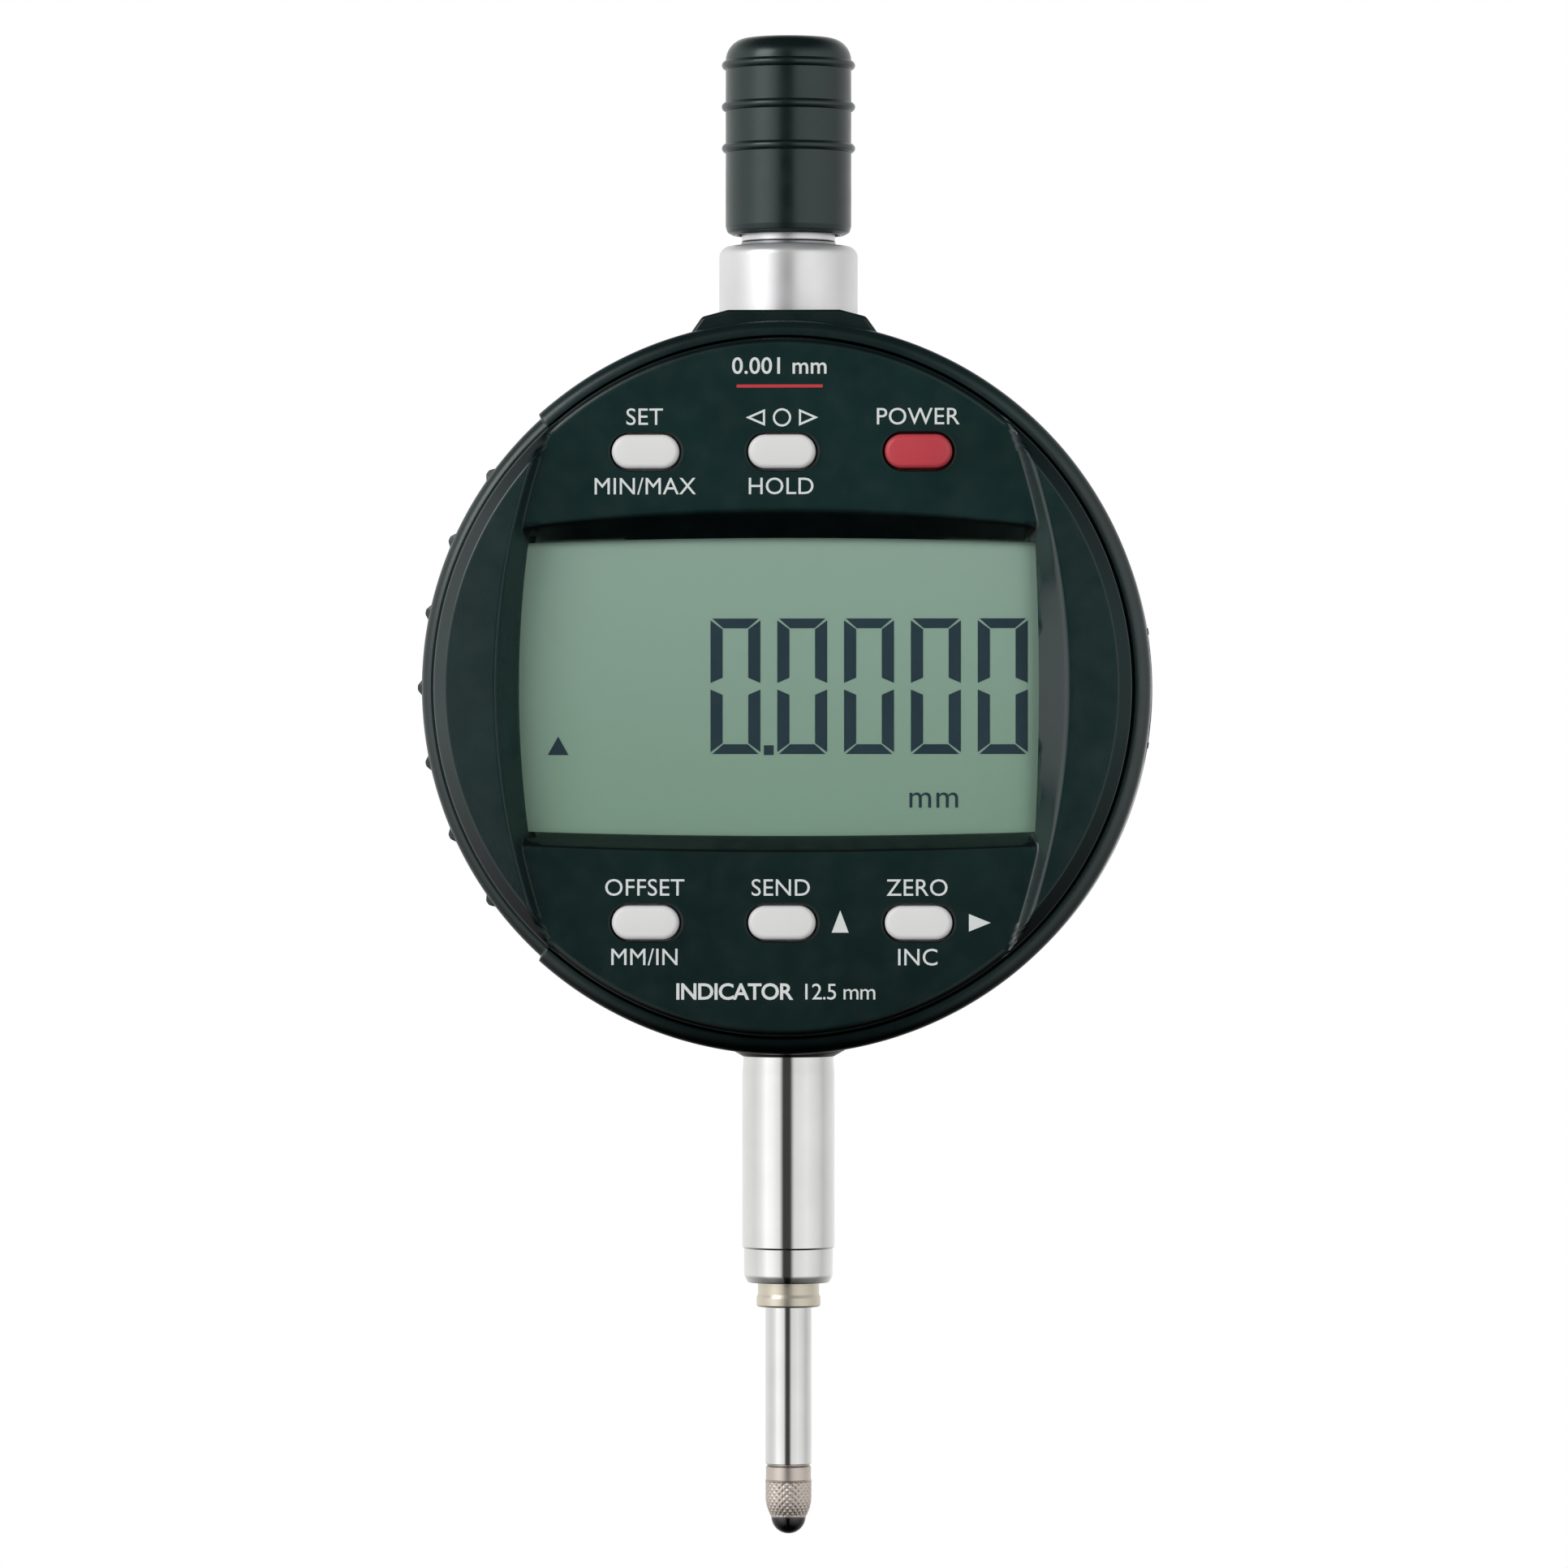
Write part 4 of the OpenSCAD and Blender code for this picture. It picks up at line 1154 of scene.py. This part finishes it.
def point_holder():
    step = 0.055
    outline = [(1.24, -67.4), (1.24, -63), (0, -63), (0, -70.3), (1.42, -71.85),
               (holder_radius(-71.95), -71.95)]
    outline += [(holder_radius(-71.9 + step * k), -71.9 + step * k) for k in range(59)]
    outline += [(HOLDER_R, -68.66), (1.95, -68.6), (1.95, -67.5), (1.9, -67.44), (1.24, -67.42)]
    turned("point_holder", outline, "spindle", KNURLED, ["contact_holder"], "knurled_steel",
           KNURL_COUNT * 10, knurl)


point_holder()
ball = [polar(1.5, radians(a), 0, -71.8) for a in range(-90, 91, 5)]
turned("measuring_ball", ball, "spindle", BALL, ["contact_ball"], "ball_carbide", 96)


CAP_R = 5.45
CAP_TOP = 56.4
CAP_ROUND = 1.95


def lifting_cap():
    outline = [(4.45, 53.9), (4.45, 39.3, 0.1), (4.8, 39.3, 0.2), (5.3, 39.55, 0.4), (CAP_R, 40.1, 0.4)]
    for rib in (46.85, 50.45, 54.05):
        for step in range(13):
            turn = radians(-90 + 15 * step)
            outline.append((CAP_R + 0.34 * max(0.0, cos(turn)) ** 1.3, rib + 0.40 * sin(turn)))
    outline += [polar(CAP_ROUND, radians(7.5 * k), CAP_R - CAP_ROUND, CAP_TOP - CAP_ROUND) for k in range(13)]
    outline += [(2.0, CAP_TOP, 0.12), (2.0, 55.2), (1.05, 55.2), (1.05, 53.9)]
    grip = lathe(rounded(outline, 10), 160)
    make("cap_grip", upright, grip, "spindle", CAP, ["lifting_cap"], "cap_plastic", 60)


lifting_cap()


def return_spring():
    """Helical spring, built at one length; the real one shortens against its upper seat as the spindle rises.
    """
    turns, per_turn, sides, mean, wire = 9, 40, 12, 3.0, 0.25
    low, high = 8.3, 32.65
    verts = []
    total = turns * per_turn
    for i in range(total + 1):
        turn = 2 * pi * i / per_turn
        for j in range(sides):
            r, height = polar(wire, 2 * pi * j / sides, mean, low + (high - low) * i / total)
            verts.append((*polar(r, turn), height))
    wound = verts, stacked(total + 1, sides)
    coil = make("spring_coil", upright, wound, "case", SPRING, ["return_spring"], "spring_steel", 60)
    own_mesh(coil)


return_spring()

SOFTENED = ["back_screws", "cap_screw", "display_screws", "board_screws", "chassis_screws", "data_socket",
            "read_head", "lcd_frame", "stop_ring", "scale_carrier", "chassis_plate", "display_back"]
for name in SOFTENED:
    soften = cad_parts[name].modifiers.new("edges", "BEVEL")
    soften.width = 0.05 * MM
    soften.segments = 2
    soften.limit_method = "ANGLE"
    soften.angle_limit = radians(50)
    soften.harden_normals = True


# ---- stage, light, camera
AXIS_DISTANCE = 0.76
AZIMUTH = radians(2.8)
AIM = Vector((-0.39 * MM, 0, (DIAL_Z - 8.28) * MM))
VIEW_WIDTH = 0.13606


def area_light(name, place, power, mirrored):
    light = bpy.data.lights.new(name, "AREA")
    light.size = 0.5
    light.energy = power
    holder = placed(name, light)
    holder.location = place
    aim = Vector((0, 0, DIAL_Z * MM)) - Vector(place)
    holder.rotation_euler = aim.to_track_quat("-Z", "Y").to_euler()
    holder.visible_glossy = mirrored


area_light("left_high", (-0.62, -0.62, 0.50), 1.7, True)
area_light("left_side", (-0.66, -0.55, 0.24), 3.2, False)
area_light("right_side", (0.42, -0.72, 0.24), 2.55, False)


# Brightness seen in reflections, by azimuth in degrees from straight in front (positive to the right).
TENT = [(-90, 0.74), (-72, 0.86), (-55, 1.15), (-38, 1.05), (-20, 0.80), (-15, 0.45), (-11, 0.05), (8, 0.05),
        (12, 0.42), (18, 0.76), (50, 0.88), (80, 0.72), (100, 0.56), (125, 0.70), (165, 0.88), (225, 0.84),
        (270, 0.74)]
# The same by height, from -1 straight below to 1 straight above, and how its plain roof sets in.
TENT_HEIGHTS = [(-0.90, 0.02), (-0.45, 0.55), (-0.09, 1), (0.45, 0.85), (0.85, 0.06)]
TENT_ROOF = [(0.40, 0), (0.80, 1)]
ROOF_GREY = (0.55, 0.55, 0.55, 1)


def stepped(m, source, stops):
    """Grey that runs through stops of (position, level)."""
    n = add(m, "ValToRGB")
    link(m, source, n.inputs["Fac"])
    points = n.color_ramp.elements
    while len(points) < len(stops):
        points.new(0.5)
    for point, (position, level) in zip(points, stops):
        point.position = position
        point.color = (level, level, level, 1)
    return n.outputs["Color"]


def backdrop_world():
    """White studio tent: the camera sees white, reflections see the tent's uneven walls and its dark slot."""
    world = bpy.data.worlds.new("studio")
    world.use_nodes = True
    bpy.context.scene.world = world
    around = add(world, "TexGradient", gradient_type="RADIAL")
    link(world, add(world, "TexCoord").outputs["Generated"], around.inputs["Vector"])
    rise = ramp(world, parts_of(world, "Generated")["Z"], -1, 1, 0, 1)
    walls = stepped(world, around.outputs["Fac"], [(0.25 + azimuth / 360, level) for azimuth, level in TENT])
    roof = stepped(world, rise, [(0.5 + height / 2, level) for height, level in TENT_ROOF])
    heights = stepped(world, rise, [(0.5 + height / 2, level) for height, level in TENT_HEIGHTS])
    tent = mixed(world, 1, mixed(world, roof, walls, ROOF_GREY), heights, "MULTIPLY")
    seen = add(world, "LightPath").outputs["Is Camera Ray"]
    back = world.node_tree.nodes["Background"].inputs
    link(world, combined(world, "MAXIMUM", seen, tent), back["Strength"])
    back["Color"].default_value = (1, 1, 1, 1)


backdrop_world()


def floor():
    sheet = material("floor_white", (0.86, 0.86, 0.86), 0.7, Emission_Strength=0.25)
    rough_by(sheet, noise(sheet, 0.02), 0.6, 0.8)
    mesh = bpy.data.meshes.new("floor")
    low = CAD_LOW.z - 0.13
    mesh.from_pydata([(x, y, low) for x, y in circle(0.45, 96)], [], [tuple(range(96))])
    mesh.materials.append(sheet)
    piece = placed("floor", mesh)
    piece.visible_glossy = False
    piece.visible_diffuse = False


floor()


def camera():
    data = bpy.data.cameras.new("camera")
    data.sensor_width = 36
    data.lens = data.sensor_width * AXIS_DISTANCE / VIEW_WIDTH
    data.clip_start, data.clip_end = 0.01, 10
    holder = placed("camera", data)
    way = Vector((sin(AZIMUTH), -cos(AZIMUTH), 0))
    holder.location = AIM + way * AXIS_DISTANCE
    holder.rotation_euler = (-way).to_track_quat("-Z", "Y").to_euler()
    bpy.context.scene.camera = holder


camera()
bpy.context.scene.view_settings.view_transform = "Standard"
